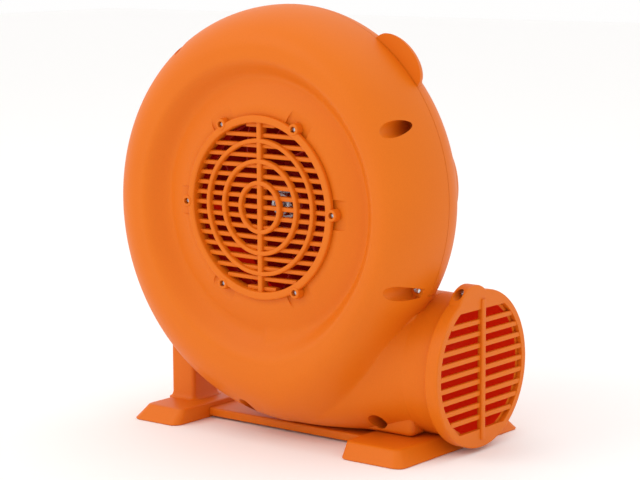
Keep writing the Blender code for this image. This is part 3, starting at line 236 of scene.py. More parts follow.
def toLinear(hexValue):
    parts = [int(hexValue[i:i + 2], 16) / 255 for i in (1, 3, 5)]
    return tuple(c / 12.92 if c <= 0.04045 else ((c + 0.055) / 1.055) ** 2.4 for c in parts)


def addNode(tree, kind, settings=None, inputs=None):
    node = tree.nodes.new(kind)
    for key, value in (settings or {}).items():
        setattr(node, key, value)
    for key, value in (inputs or {}).items():
        if isinstance(value, bpy.types.NodeSocket):
            tree.links.new(value, node.inputs[key])
        else:
            node.inputs[key].default_value = value
    return node


def perMetre(millimetres):
    return 1000.0 / millimetres


def mouldedLook(name, look):
    # slow shade drift from the melt's flow, a fine etched grain, and a slightly uneven gloss
    material = bpy.data.materials.new(name)
    material.use_nodes = True
    tree = material.node_tree
    shader = tree.nodes["Principled BSDF"]
    place = addNode(tree, "ShaderNodeTexCoord").outputs["Object"]
    drift = addNode(tree, "ShaderNodeTexNoise", inputs={
        "Vector": place, "Scale": perMetre(look["driftMm"]), "Detail": 3.0, "Roughness": 0.55})
    tone = addNode(tree, "ShaderNodeMix", {"data_type": "RGBA"}, {
        0: drift.outputs["Fac"], 6: (*toLinear(look["dark"]), 1), 7: (*toLinear(look["light"]), 1)})
    speckle = addNode(tree, "ShaderNodeTexNoise", inputs={
        "Vector": place, "Scale": perMetre(look["grainMm"]), "Detail": 2.0})
    fleck = addNode(tree, "ShaderNodeMapRange", inputs={
        "Value": speckle.outputs["Fac"], 1: 0.35, 2: 0.7, 3: 1.0 - look["fleck"], 4: 1.0})
    shade = addNode(tree, "ShaderNodeVectorMath", {"operation": "SCALE"}, {
        0: tone.outputs[2], "Scale": fleck.outputs["Result"]})
    gloss = addNode(tree, "ShaderNodeMapRange", inputs={
        "Value": drift.outputs["Fac"], 1: 0.3, 2: 0.7,
        3: look["roughness"] - look["glossDrift"], 4: look["roughness"] + look["glossDrift"]})
    bump = addNode(tree, "ShaderNodeBump", inputs={
        "Strength": look["bump"], "Distance": look["grainMm"] * 0.0001, "Height": speckle.outputs["Fac"]})
    tree.links.new(shade.outputs["Vector"], shader.inputs["Base Color"])
    tree.links.new(gloss.outputs["Result"], shader.inputs["Roughness"])
    tree.links.new(bump.outputs["Normal"], shader.inputs["Normal"])
    shader.inputs["IOR"].default_value = look["ior"]
    shader.inputs["Specular IOR Level"].default_value = look.get("specular", 0.5)
    # painted glow: an optional emission that stands in for light coming through a wall, though the piece is no
    # lamp
    if "glow" in look:
        shader.inputs["Emission Color"].default_value = (*toLinear(look["glow"]), 1)
        shader.inputs["Emission Strength"].default_value = look["glowPower"]
    return material


def metalLook(name, look):
    # bare metal: a base tone, fine scratches along or round the piece, and an uneven polish
    material = bpy.data.materials.new(name)
    material.use_nodes = True
    tree = material.node_tree
    shader = tree.nodes["Principled BSDF"]
    place = addNode(tree, "ShaderNodeTexCoord").outputs["Object"]
    stretch = addNode(tree, "ShaderNodeMapping", inputs={"Vector": place, "Scale": look["stretch"]})
    scratch = addNode(tree, "ShaderNodeTexNoise", inputs={
        "Vector": stretch.outputs["Vector"], "Scale": perMetre(look["scratchMm"]), "Detail": 3.0})
    patch = addNode(tree, "ShaderNodeTexNoise", inputs={
        "Vector": place, "Scale": perMetre(look["patchMm"]), "Detail": 2.0})
    tone = addNode(tree, "ShaderNodeMix", {"data_type": "RGBA"}, {
        0: patch.outputs["Fac"], 6: (*toLinear(look["dark"]), 1), 7: (*toLinear(look["light"]), 1)})
    polish = addNode(tree, "ShaderNodeMapRange", inputs={
        "Value": scratch.outputs["Fac"], 1: 0.3, 2: 0.7,
        3: look["roughness"] - 0.08, 4: look["roughness"] + 0.08})
    bump = addNode(tree, "ShaderNodeBump", inputs={
        "Strength": look["bump"], "Distance": 0.00005, "Height": scratch.outputs["Fac"]})
    tree.links.new(tone.outputs[2], shader.inputs["Base Color"])
    tree.links.new(polish.outputs["Result"], shader.inputs["Roughness"])
    tree.links.new(bump.outputs["Normal"], shader.inputs["Normal"])
    shader.inputs["Metallic"].default_value = look.get("metallic", 1.0)
    return material


# ABS, injection moulded with an etched tool: a soft satin orange with no clear reflections
orangeAbs = mouldedLook("orangeAbsMoulded", {
    "dark": "#dd6c08", "light": "#e3730e", "driftMm": 70.0, "grainMm": 0.9, "fleck": 0.035,
    "roughness": 0.47, "glossDrift": 0.03, "bump": 0.25, "ior": 1.53, "specular": 0.2})
# painted glow: the same ABS on the inner faces, given a deep red tone and a faint red emission that stand in for
# daylight coming through the thin wall
orangeAbsPaintedGlow = mouldedLook("orangeAbsMouldedInside", {
    "dark": "#e0300a", "light": "#e63a0e", "driftMm": 70.0, "grainMm": 0.9, "fleck": 0.035,
    "roughness": 0.5, "glossDrift": 0.03, "bump": 0.25, "ior": 1.53, "specular": 0.2,
    "glow": "#e0240a", "glowPower": 0.16})
# nylon with glass, moulded: saturated red that lies in shade, drier and a little blotchy
redNylon = mouldedLook("redNylonMoulded", {
    "dark": "#c01a06", "light": "#d6280c", "driftMm": 24.0, "grainMm": 0.7, "fleck": 0.12,
    "roughness": 0.5, "glossDrift": 0.05, "bump": 0.4, "ior": 1.53})
# black ABS, moulded: near black with a soft sheen along the edges
blackAbs = mouldedLook("blackAbsMoulded", {
    "dark": "#141416", "light": "#1d1d20", "driftMm": 12.0, "grainMm": 0.6, "fleck": 0.1,
    "roughness": 0.38, "glossDrift": 0.05, "bump": 0.3, "ior": 1.53})
# polypropylene capacitor case, moulded: warm white, waxy
whiteCase = mouldedLook("whitePolypropyleneMoulded", {
    "dark": "#dad8d0", "light": "#e6e4dd", "driftMm": 15.0, "grainMm": 0.8, "fleck": 0.03,
    "roughness": 0.42, "glossDrift": 0.04, "bump": 0.2, "ior": 1.49})
# wool felt, pressed: dull charcoal with a coarse nap
woolFelt = mouldedLook("woolFeltPressed", {
    "dark": "#1c1b1a", "light": "#2c2a28", "driftMm": 6.0, "grainMm": 0.5, "fleck": 0.4,
    "roughness": 0.92, "glossDrift": 0.03, "bump": 1.0, "ior": 1.45})
# steel, cold headed and zinc plated: bright blue-grey with fine turning marks
zincSteel = metalLook("steelZincPlated", {
    "dark": "#b9bdc4", "light": "#dfe2e6", "stretch": (1.0, 6.0, 1.0), "scratchMm": 1.2, "patchMm": 5.0,
    "roughness": 0.27, "bump": 0.3})
# aluminium, die cast: dull silver with a faint orange-peel skin
castAluminium = metalLook("aluminiumDieCast", {
    "dark": "#a3a6aa", "light": "#bfc2c5", "stretch": (1.0, 1.0, 1.0), "scratchMm": 1.6, "patchMm": 14.0,
    "roughness": 0.5, "bump": 0.6})
# electrical steel, stamped and stacked: dark grey with lines between the sheets
stackedSteel = metalLook("electricalSteelStacked", {
    "dark": "#4c4f54", "light": "#686c72", "stretch": (0.05, 9.0, 0.05), "scratchMm": 4.0, "patchMm": 9.0,
    "roughness": 0.48, "bump": 0.9})
# copper wire, enamelled and wound: amber-brown strands with a varnish gloss
woundCopper = metalLook("copperEnamelledWound", {
    "dark": "#8a4320", "light": "#c46f35", "stretch": (0.3, 8.0, 0.3), "scratchMm": 5.0, "patchMm": 6.0,
    "roughness": 0.34, "bump": 1.0, "metallic": 0.85})
print("materials made")


# housing: a scroll that grows round the impeller axis, blended into a round duct

housing = {
    "wall": 0.0028,
    "scrollStart": 0.1394, "scrollGrowth": 0.0110, "tongueAngle": -34.0,
    "seamY": -0.0330, "frontDepth": 0.0530, "rearDepth": 0.0530, "seamGap": 0.0004,
    "flatR": 0.0755, "flatDrop": 0.0060, "dishR": 0.0960, "dishDrop": 0.0120, "crestShare": 0.42,
    "backFlatR": 0.0520, "dishEase": 0.75,
    "middleR": (0.0, 0.03, 0.055, 0.06), "flatStart": 0.062, "backMiddleR": (0.03, 0.0),
    "outletZ": 0.0629, "outletR": 0.0540, "tubeEnd": 0.1437, "ductBlend": 0.1120,
    "ductFront": -0.0790, "ductBack": -0.0020, "squareness": 0.6,
    "crease": 0.0130, "creaseStart": 0.0050, "creaseRun": 0.0500, "backCrease": 0.6,
    "fall": 5.0, "tongueFade": 0.0030,
    "stepX": 0.0300, "stepTop": 0.1199, "stepDrop": 0.0100,
    "lugAngle": 50.0, "lugHeight": 0.0135, "lugChord": 0.0500, "lugDepth": 0.0200,
}
intakeY = housing["seamY"] - housing["frontDepth"]
dishY = intakeY + housing["flatDrop"]
backY = housing["seamY"] + housing["rearDepth"]


def scrollRadius(angle):
    # grows in step with the angle for three quarters of a turn, then eases back to the tongue
    start, growth, tongue = housing["scrollStart"], housing["scrollGrowth"], housing["tongueAngle"]
    grown = start + growth * angle / 90.0
    bottom = start + growth * 3.0
    atTongue = start + growth * tongue / 90.0
    share = smoothStep((angle - 270.0) / (90.0 + tongue))
    return np.where(angle <= 270.0, grown, bottom + (atTongue - bottom) * share)


cutX = float(scrollRadius(np.array(housing["tongueAngle"])) * math.cos(math.radians(housing["tongueAngle"])))


def ductFaces(x, z, inset):
    # front and back Y of the duct: a squarish oval that turns into a circle along X
    h = housing
    share = smoothStep(x / h["ductBlend"])
    widest = h["seamY"] * (1.0 - share)
    front = h["ductFront"] - (h["ductFront"] + h["outletR"]) * share + inset
    back = h["ductBack"] + (h["outletR"] - h["ductBack"]) * share - inset
    power = 2.0 / (2.0 + h["squareness"] * np.sin(np.pi * np.clip(x / h["ductBlend"], 0.0, 1.0)))
    radius = h["outletR"] - inset
    off = np.abs(z - h["outletZ"]) / radius
    sine = np.clip(off, 0.0, 1.0) ** (1.0 / power)
    bulge = np.maximum(1.0 - sine * sine, 0.0) ** (power / 2.0)
    outside = h["fall"] * np.maximum(off - 1.0, 0.0) * radius + np.maximum(-x, 0.0)
    return widest + (front - widest) * bulge + outside, widest + (back - widest) * bulge - outside


def bodyFaces(x, z, inset, pastCut=0.0):
    # front and back Y of scroll and duct together, rounded into each other along the crease
    h = housing
    r = np.hypot(x, z - axisZ)
    angle = np.degrees(np.arctan2(z - axisZ, x))
    angle = np.where(angle < h["tongueAngle"] - 1e-6, angle + 360.0, angle)
    outline = scrollRadius(angle)
    crest = h["dishR"] + h["crestShare"] * (outline - h["dishR"])
    share = (r - h["dishR"]) / (crest - h["dishR"])
    drop = np.interp(r, [h["flatR"], h["dishR"]], [h["flatDrop"], h["dishDrop"]])
    drop = np.where(share > 0.0, h["dishDrop"] * (1.0 - smoothStep(share / h["dishEase"])), drop)
    rim = np.clip((r - crest) / (outline - inset - crest), 0.0, 1.0)
    front = h["seamY"] - (h["frontDepth"] - inset) * np.sqrt(1.0 - rim * rim) + drop
    run = np.clip((r - h["backFlatR"]) / (outline - inset - h["backFlatR"]), 0.0, 1.0)
    back = h["seamY"] + (h["rearDepth"] - inset) * np.sqrt(1.0 - run * run)
    outside = h["fall"] * np.maximum(r - (outline - inset), 0.0)
    ductFront, ductBack = ductFaces(x, z, inset)
    ductFront = ductFront + pastCut * np.maximum(x - cutX, 0.0)
    ductBack = ductBack - pastCut * np.maximum(x - cutX, 0.0)
    crease = h["crease"] * smoothStep((x - h["creaseStart"]) / h["creaseRun"])
    return (-softMax(outside * -1.0 - front, -ductFront, crease),
            softMax(back - outside, ductBack, crease * h["backCrease"]))


def spread(*spans):
    # several even runs of numbers, each as (start, stop, count)
    return np.concatenate([np.linspace(a, b, n, endpoint=False) for a, b, n in spans])


def bodySolid(name, inset):
    # rows turn round the impeller axis; columns run from the front middle over the rim to the back middle
    h = housing
    lowZ = h["outletZ"] - h["outletR"] + inset - axisZ
    cornerAngle = 360.0 + math.degrees(math.atan2(lowZ, cutX))
    tongue = h["tongueAngle"]
    # rows lie closer near the tongue, over the lug and round the duct's corner
    theta = spread((tongue, -14, 40), (-14, 36, 32), (36, 64, 36), (64, 262, 108),
                   (262, cornerAngle, 44), (cornerAngle, 360 + tongue, 30))
    turn = np.radians(theta)
    outline = scrollRadius(theta)
    inDuct = theta > 270.0
    slope = np.where(inDuct, np.sin(turn), -1.0)
    lean = np.where(inDuct, np.cos(turn), 1.0)
    ductEdge = np.minimum(lowZ / slope, cutX / np.maximum(lean, 1e-6))
    edge = np.where(inDuct, np.maximum(ductEdge, outline - inset), outline - inset)
    rimR = np.minimum(outline - inset, edge)
    crest = h["dishR"] + h["crestShare"] * (outline - h["dishR"])
    quarter = np.linspace(0.0, np.pi / 2, 26)[None, :]
    one = np.ones_like(theta)[:, None]
    toRim = crest[:, None] + (rimR - crest)[:, None] * np.sin(quarter)
    beyondShare = np.sin(np.linspace(0, np.pi / 2, 24)[None, 1:])
    beyond = rimR[:, None] + (edge - rimR)[:, None] * beyondShare
    front = np.concatenate([
        one * np.array(h["middleR"])[None, :],
        one * np.linspace(h["flatStart"], h["flatR"], 4, endpoint=False)[None, :],
        one * np.linspace(h["flatR"], h["dishR"], 7, endpoint=False)[None, :],
        h["dishR"] + (crest - h["dishR"])[:, None] * np.linspace(0, 1, 16, endpoint=False)[None, :],
        toRim, beyond], 1)
    backShare = np.cos(np.linspace(0, np.pi / 2, 40)[None, 1:])
    backRim = h["backFlatR"] + (rimR - h["backFlatR"])[:, None] * backShare
    back = np.concatenate([edge[:, None], beyond[:, ::-1][:, 1:], rimR[:, None], backRim,
                           one * np.array(h["backMiddleR"])[None, :]], 1)
    r = np.concatenate([front, back], 1)
    x = r * np.cos(turn)[:, None]
    z = axisZ + r * np.sin(turn)[:, None]
    onCut = np.abs(x - cutX) < 1e-7
    x = np.where(onCut, cutX, x)
    z = np.where(onCut, axisZ + cutX * np.tan(turn)[:, None], z)
    frontY, backY = bodyFaces(x, z, inset, h["fall"] * 5)
    isFront = np.arange(r.shape[1])[None, :] < front.shape[1]
    y = np.where(isFront, np.minimum(frontY, backY), np.maximum(frontY, backY))
    atRim = (np.abs(r - edge[:, None]) < 1e-9) & ~inDuct[:, None]
    y = np.where(atRim & isFront, h["seamY"], y)
    if inset == 0.0:
        # the grip lug lifts the rear rim outwards as half an egg
        along = np.radians(theta - h["lugAngle"])[:, None] * outline[:, None] / (h["lugChord"] / 2)
        deep = (y - h["seamY"]) / h["lugDepth"]
        egg = np.sqrt(np.maximum(1.0 - along ** 2 - deep ** 2, 0.0)) * h["lugHeight"]
        push = np.where(isFront, 0.0, np.maximum(egg - (edge[:, None] - r), 0.0))
        x = x + push * np.cos(turn)[:, None]
        z = z + push * np.sin(turn)[:, None]
    body = makeSolid(name, [np.stack([x, y, z], -1)], closeRows=True, closeColumns=False)
    return body, theta[theta > cornerAngle - 1e-9]


def tubeSolid(name, inset, theta, start, end, steps):
    # rings along X that share their first ring with the scroll's cut face
    h = housing
    bottom = h["outletZ"] - h["outletR"] + inset
    top = h["outletZ"] + h["outletR"] - inset
    low = axisZ + cutX * np.tan(np.radians(theta))
    low[0] = bottom
    rise = np.linspace(0.0, np.pi / 2, 22)[1:]
    high = low[-1] + (top - low[-1]) * np.sin(rise)
    z = np.concatenate([low, high])[None, :]
    x = np.linspace(start, end, steps)[:, None] + 0.0 * z
    z = z + 0.0 * x
    plainFront, plainBack = ductFaces(x, z, inset)
    frontY, backY = bodyFaces(x, z, inset)
    lift = smoothStep((z - low[-1]) / h["tongueFade"])
    frontY = frontY + (plainFront - frontY) * lift
    backY = backY + (plainBack - backY) * lift
    frontY, backY = np.minimum(frontY, backY), np.maximum(frontY, backY)
    x = np.concatenate([x, x[:, ::-1]], 1)
    z = np.concatenate([z, z[:, ::-1]], 1)
    y = np.concatenate([frontY, backY[:, ::-1]], 1)
    ring = np.stack([x, y, z], -1)
    poleStart = np.zeros_like(ring[:1]) + [start, 0.0, h["outletZ"]]
    poleEnd = np.zeros_like(ring[:1]) + [end, 0.0, h["outletZ"]]
    return makeSolid(name, [np.concatenate([poleStart, ring, poleEnd])])


fixings = {
    "scroll": [(29.0, 0.134), (-25.0, 0.131), (128.0, 0.148), (261.0, 0.160)],
    "duct": (0.083, 0.0215),
    "recessR": 0.0062, "pillarR": 0.0084, "rearPillarR": 0.0051, "holeR": 0.0019,
    "seat": 0.0100, "holeDepth": 0.0180, "coverHoleDepth": 0.0075, "guardHoleDepth": 0.0095,
    "coverR": 0.0660, "coverPillarR": 0.0046, "coverPillarDepth": 0.0105,
    "motorR": 0.0330, "motorHoleR": 0.0023, "pilotR": 0.0160,
}
skirt = {"x": (0.0400, 0.1120), "frontY": -0.0400, "z": (0.0123, 0.0300), "corner": 0.0050}
intake = {
    "holeR": 0.0666, "bossRingR": 0.0704, "bossCount": 6,
    "notchIn": 0.0640, "notchOut": 0.0880, "notchHalf": 0.0112, "notchDepth": 0.0017,
    "notchCorner": 0.0020, "notchReach": 0.0050, "holeEnd": 0.0200,
}
scrollSpots = [(r * math.cos(math.radians(a)), axisZ + r * math.sin(math.radians(a)))
               for a, r in fixings["scroll"]]
bossSpots = around(intake["bossCount"], intake["bossRingR"])
coverSpots = around(4, fixings["coverR"], 45.0)
motorSpots = around(4, fixings["motorR"])


def bodyWith(name, inset, tubeEnd):
    scroll, cutAngles = bodySolid(name, inset)
    return joinTo(scroll, tubeSolid(name + "Tube", inset, cutAngles, cutX, tubeEnd, 14))


def partingSpace(name, side):
    # everything past the parting line: side 1 lies behind it, side -1 before it
    h = housing
    gap = h["seamGap"] / 2 * side
    far = 0.30
    middle = h["seamY"] - gap + side * far / 2
    space = makeSolid(name, [block((0.0, middle, axisZ), (far, far, far / 2), 0.001, axis="Y")])
    stepLow = h["seamY"] - h["stepDrop"]
    stepHigh = -gap
    stepCentre = (h["stepX"] + gap + far / 2, (stepLow + stepHigh) / 2, h["stepTop"] - gap - far / 2)
    stepHalf = (stepHigh - stepLow) / 2
    stepLayers = [(0.0, (stepLow - stepHigh) / 2), (0.0, stepHalf)]
    stepBlock = block(stepCentre, (far / 2, far / 2, stepHalf), 0.001, stepLayers, axis="Y")
    step = makeSolid(name + "Step", [stepBlock])
    return cutFrom(space, step) if side > 0 else joinTo(space, step)


def makeHousing():
    h = housing
    whole = bodyWith("whole", 0.0, h["tubeEnd"])
    skirtSize = [(b - a) / 2 for a, b in (skirt["x"], skirt["z"], (skirt["frontY"], -h["seamGap"] / 2))]
    skirtSpot = (sum(skirt["x"]) / 2, (skirt["frontY"] - h["seamGap"] / 2) / 2, sum(skirt["z"]) / 2)
    joinTo(whole, makeSolid("skirt", [block(skirtSpot, skirtSize, skirt["corner"], axis="Y")]))
    hollow = bodyWith("hollow", h["wall"], h["tubeEnd"] + past)
    groups = ((scrollSpots, h["seamY"]), ([fixings["duct"]], 0.0))
    for spots, seam in groups:
        pillar = makeRods("pillar", spots, fixings["pillarR"], intakeY - past, seam)
        rearPillar = makeRods("rearPillar", spots, fixings["rearPillarR"], seam - 0.002, backY + 0.07)
        cutFrom(hollow, joinTo(pillar, rearPillar))
    coverPillar = (backY - fixings["coverPillarDepth"], backY + past)
    cutFrom(hollow, makeRods("coverPillar", coverSpots, fixings["coverPillarR"], *coverPillar, steps=24))
    # the hollow's faces become the inner walls after the cut and carry the painted-glow material in slot 1
    for solid, index in ((whole, 0), (hollow, 1)):
        solid.data.materials.clear()
        solid.data.materials.append(orangeAbs)
        solid.data.materials.append(orangeAbsPaintedGlow)
        slots = np.full(len(solid.data.polygons), index, dtype=np.int32)
        solid.data.polygons.foreach_set("material_index", slots)
    cutFrom(whole, hollow)
    for spots, seam in groups:
        seat = seam - fixings["seat"]
        cutFrom(whole, makeRods("recess", spots, fixings["recessR"], intakeY - past, seat, steps=40),
                makeRods("screwHole", spots, fixings["holeR"], seat - overlap, seat + fixings["holeDepth"],
                         steps=20))
    rear = copyOf(whole, "rear")
    cutFrom(whole, partingSpace("behind", 1.0))
    cutFrom(rear, partingSpace("before", -1.0))
    cutFrom(whole, makeRods("intakeHole", [(0.0, axisZ)], intake["holeR"], intakeY - past,
                            h["seamY"] - intake["holeEnd"], steps=128))
    notches = []
    for spot in bossSpots:
        turn = math.atan2(spot[1] - axisZ, spot[0])
        half = ((intake["notchOut"] - intake["notchIn"]) / 2, intake["notchHalf"], intake["notchReach"])
        grid = block((0, 0, 0), half, intake["notchCorner"], axis="Y")
        reach = grid[..., 0] + (intake["notchOut"] + intake["notchIn"]) / 2
        across = grid[..., 2]
        notches.append(np.stack([reach * math.cos(turn) - across * math.sin(turn),
                                 grid[..., 1] + dishY + intake["notchDepth"] - intake["notchReach"],
                                 axisZ + reach * math.sin(turn) + across * math.cos(turn)], -1))
    cutFrom(whole, makeSolid("notches", notches))
    cutFrom(whole, makeRods("bossHoles", bossSpots, fixings["holeR"], dishY - past, dishY + past, steps=20))
    cutFrom(rear, makeRods("pilot", [(0.0, axisZ)], fixings["pilotR"], 0.0, backY + past, steps=64),
            makeRods("coverHoles", coverSpots, fixings["holeR"], backY - fixings["coverHoleDepth"],
                     backY + past, steps=20),
            makeRods("motorHoles", motorSpots, fixings["motorHoleR"], 0.0, backY + past, steps=20))
    finishPiece(whole, "scrollFront", orangeAbs, "housing", ["front_shell"])
    finishPiece(rear, "scrollRear", orangeAbs, "housing", ["rear_shell"])
    return whole, rear


scrollFront, scrollRear = makeHousing()
print("housing made:", len(scrollFront.data.polygons), "and", len(scrollRear.data.polygons), "faces")


# intake grille: slats across, three rings and a bar in front, a round rim with six screw bosses

grille = {
    "openR": 0.0640, "sleeveR": 0.0663, "rimR": 0.0700, "rimRise": 0.0040, "rimSoft": 0.0018,
    "slatPitch": 0.00775, "slatThick": 0.0034, "slatDepth": 0.0060, "slatDrop": 0.0004, "slatSoft": 0.0011,
    "rings": (0.0186, 0.0349, 0.0504), "ringWidth": 0.0035, "ringRise": 0.0030, "ringSoft": 0.0015,
    "barWidth": 0.0045, "barDrop": 0.0004, "bossR": 0.0046, "bossRise": 0.0046, "bossBoreR": 0.0024,
    "bossFlare": 0.0004, "bossTaper": 0.0003, "ringSink": 0.0021,
    "seatRise": 0.0012, "shankHoleR": 0.0015, "gap": 0.0003,
}


def makeGrille():
    g = grille
    slatFront = dishY + g["slatDrop"]
    slatBack = slatFront + g["slatDepth"]
    seat = dishY - g["gap"]
    rimFront = dishY - g["rimRise"]
    outline = [(g["openR"], slatBack), (g["sleeveR"], slatBack), (g["sleeveR"], seat), (g["rimR"], seat),
               (g["rimR"], rimFront), (g["openR"], rimFront)]
    soft = [0.0004, 0.0004, 0.0002, 0.0004, g["rimSoft"], g["rimSoft"]]
    whole = makeTurned("rim", softCorners(outline, soft, 6), (0.0, 0.0, axisZ), steps=160)
    slats = []
    reachR = (g["openR"] + g["sleeveR"]) / 2
    count = int(g["openR"] / g["slatPitch"])
    for z in np.arange(-count, count + 1) * g["slatPitch"]:
        half = math.sqrt(reachR ** 2 - (abs(z) + g["slatThick"] / 2) ** 2)
        slats.append(block((0.0, (slatFront + slatBack) / 2, axisZ + z),
                           (g["slatDepth"] / 2, g["slatThick"] / 2, half),
                           g["slatSoft"], [(0.0, -half), (0.0, half)], axis="X"))
    ringFront = slatFront - g["ringRise"]
    barHalf = (slatBack - ringFront - g["barDrop"]) / 2
    bar = block((0.0, ringFront + g["barDrop"] + barHalf, axisZ), (g["barWidth"] / 2, barHalf, reachR),
                g["ringSoft"], [(0.0, -reachR), (0.0, reachR)], axis="Z")
    joinTo(whole, makeSolid("slats", slats), makeSolid("bar", [bar]))
    rings = []
    for radius in g["rings"]:
        low, high = radius - g["ringWidth"] / 2, radius + g["ringWidth"] / 2
        ringBack = slatFront + g["ringSink"]
        edge = [(low, ringBack), (high, ringBack), (high, ringFront), (low, ringFront)]
        rings.append(turned(softCorners(edge, [0.0003, 0.0003, g["ringSoft"], g["ringSoft"]], 6),
                            (0.0, 0.0, axisZ), steps=120))
    joinTo(whole, makeSolid("rings", rings, closeRows=True))
    front = dishY - g["bossRise"]
    floorY = dishY + intake["notchDepth"] - g["gap"]
    edge = [(0.0, floorY), (g["bossR"] + g["bossFlare"], floorY), (g["bossR"] - g["bossTaper"], front),
            (0.0, front)]
    bossEdge = softCorners(edge, [0.0, 0.0002, 0.0009, 0.0], 6)
    bosses = [turned(bossEdge, (spot[0], 0.0, spot[1]), steps=40) for spot in bossSpots]
    joinTo(whole, makeSolid("bosses", bosses, closeRows=True))
    cutFrom(whole, makeRods("boreHoles", bossSpots, g["bossBoreR"], dishY - past, dishY - g["seatRise"],
                            steps=24),
            makeRods("shankHoles", bossSpots, g["shankHoleR"], dishY - past, dishY + past, steps=24))
    return finishPiece(whole, "intakeGrilleMoulding", orangeAbs, "housing",
                       ["intake_grille"], 38.0)


makeGrille()
print("grille made")


# outlet guard: a collar with a screw lobe, slats across and an upright rib

guard = {
    "faceX": 0.1476, "length": 0.0110, "boreR": 0.0543, "outerR": 0.0600, "soft": 0.0013,
    "lobeR": 0.0220, "lobeOut": 0.0660, "lobeAngle": 103.0,
    "web": 0.0030, "webR": 0.0558, "windowHalf": 0.0458, "slatPitch": 0.0091, "slatThick": 0.0038,
    "slatBackX": 0.1440, "slatDrop": 0.0004, "slatSoft": 0.0009,
    "slatEndGap": 0.0005, "ribWidth": 0.0050, "ribProud": 0.0015, "ribSoft": 0.0011, "ribBack": 0.0002,
    "ribLowGap": 0.0008, "ribHighGap": 0.0012,
    "clampRise": 0.0590, "clampR": 0.0038, "clampSeat": 0.0060, "clampDepth": 0.0400,
}


def makeGuard():
    g = guard
    middleZ = housing["outletZ"]
    backX = g["faceX"] - g["length"]
    outline = [(g["boreR"], g["faceX"]), (g["outerR"], g["faceX"]), (g["outerR"], backX), (g["boreR"], backX)]
    whole = makeTurned("collar", softCorners(outline, [0.0003, g["soft"], g["soft"], 0.0003], 6),
                       (0.0, 0.0, middleZ), "X", 160)
    turn = math.radians(g["lobeAngle"])
    reach = g["lobeOut"] - g["lobeR"]
    lobeY, lobeZ = reach * math.cos(turn), middleZ + reach * math.sin(turn)
    edge = [(0.0, backX), (g["lobeR"], backX), (g["lobeR"], g["faceX"]), (0.0, g["faceX"])]
    lobeEdge = softCorners(edge, [0.0, g["soft"], g["soft"], 0.0], 6)
    joinTo(whole, makeTurned("lobe", lobeEdge, (0.0, lobeY, lobeZ), "X", 72))
    cutFrom(whole, makeRods("bore", [(0.0, middleZ)], g["boreR"], backX - past, g["faceX"] + past, "X", 160))
    web = makeRods("web", [(0.0, middleZ)], g["webR"], g["faceX"] - g["web"], g["faceX"], "X", 160)
    window = block((g["faceX"], 0.0, middleZ), (0.09, g["windowHalf"], 0.02), 0.001, axis="X")
    cutFrom(web, makeSolid("window", [window]))
    slats = []
    count = int(g["windowHalf"] / g["slatPitch"] - 0.5)
    frontX = g["faceX"] - g["slatDrop"]
    for z in np.arange(-count, count + 1) * g["slatPitch"]:
        half = math.sqrt(g["webR"] ** 2 - (abs(z) + g["slatThick"] / 2) ** 2) - g["slatEndGap"]
        slats.append(block(((g["slatBackX"] + frontX) / 2, 0.0, middleZ + z),
                           ((frontX - g["slatBackX"]) / 2, g["slatThick"] / 2, half),
                           g["slatSoft"], [(0.0, -half), (0.0, half)], axis="Y"))
    ribFront = g["faceX"] + g["ribProud"]
    ribHalf = (ribFront - g["slatBackX"] - g["ribBack"]) / 2
    ribLow, ribHigh = g["ribLowGap"] - g["boreR"], g["boreR"] - g["ribHighGap"]
    rib = block((ribFront - ribHalf, 0.0, middleZ), (ribHalf, g["ribWidth"] / 2, ribHigh), g["ribSoft"],
                [(0.0, ribLow), (0.0, ribHigh)], axis="Z")
    joinTo(whole, web, makeSolid("guardSlats", slats), makeSolid("rib", [rib]))
    clamp = [(g["faceX"] - g["length"] / 2, middleZ + g["clampRise"])]
    seat = lobeY - g["clampSeat"]
    cutFrom(whole, makeRods("clampRecess", clamp, g["clampR"], seat - g["clampDepth"], seat, steps=36),
            makeRods("clampHole", clamp, fixings["holeR"], seat - overlap, seat + fixings["guardHoleDepth"],
                     steps=20))
    return finishPiece(whole, "outletGuardMoulding", orangeAbs, "housing",
                       ["outlet_guard"], 38.0)


makeGuard()
print("guard made")


# feet: sloped pads, one with a leg under the scroll, and the rail between them

feet = {
    "y": (-0.0830, 0.0770), "run": 0.0085, "corner": 0.0080,
    "leftX": (-0.1340, -0.0865), "rightX": (0.0747, 0.1320),
    "legX": (-0.1270, -0.1030), "legY": (-0.0430, -0.0120), "legTop": 0.0780, "legFlare": 0.0030,
    "railY": (-0.0430, -0.0050), "railZ": (0.0015, 0.0082), "railSoft": 0.0014, "gap": 0.0003,
    # the pad's slope as (share of the run, height), and the leg's root as (share of the flare, height)
    "slope": ((-0.06, 0.0), (0.0, 0.0007), (0.45, 0.0055), (0.88, 0.0105), (0.97, 0.0114), (1.12, 0.0119),
              (1.4, 0.0120)),
    "legRoot": ((1.0, 0.0100), (1.0, 0.0121), (0.55, 0.0128), (0.25, 0.0138), (0.0, 0.0160)),
    "legCorner": 0.0035, "innerShare": 0.6, "cornerShare": 0.3,
}


def ramp(layers, steps=8):
    # rounded rectangles stacked upwards, each given as (x0, x1, y0, y1, corner, z)
    x0, x1, y0, y1, corner, z = (column[:, None] for column in np.asarray(layers, float).T)
    turn = np.concatenate([np.linspace(q, q + 1, steps) for q in range(4)])[None, :] * np.pi / 2
    right = np.repeat([1, 0, 0, 1], steps)[None, :]
    back = np.repeat([1, 1, 0, 0], steps)[None, :]
    x = np.where(right, x1 - corner, x0 + corner) + corner * np.cos(turn)
    y = np.where(back, y1 - corner, y0 + corner) + corner * np.sin(turn)
    return closeEnds(np.stack([x, y, z + 0.0 * turn], -1))


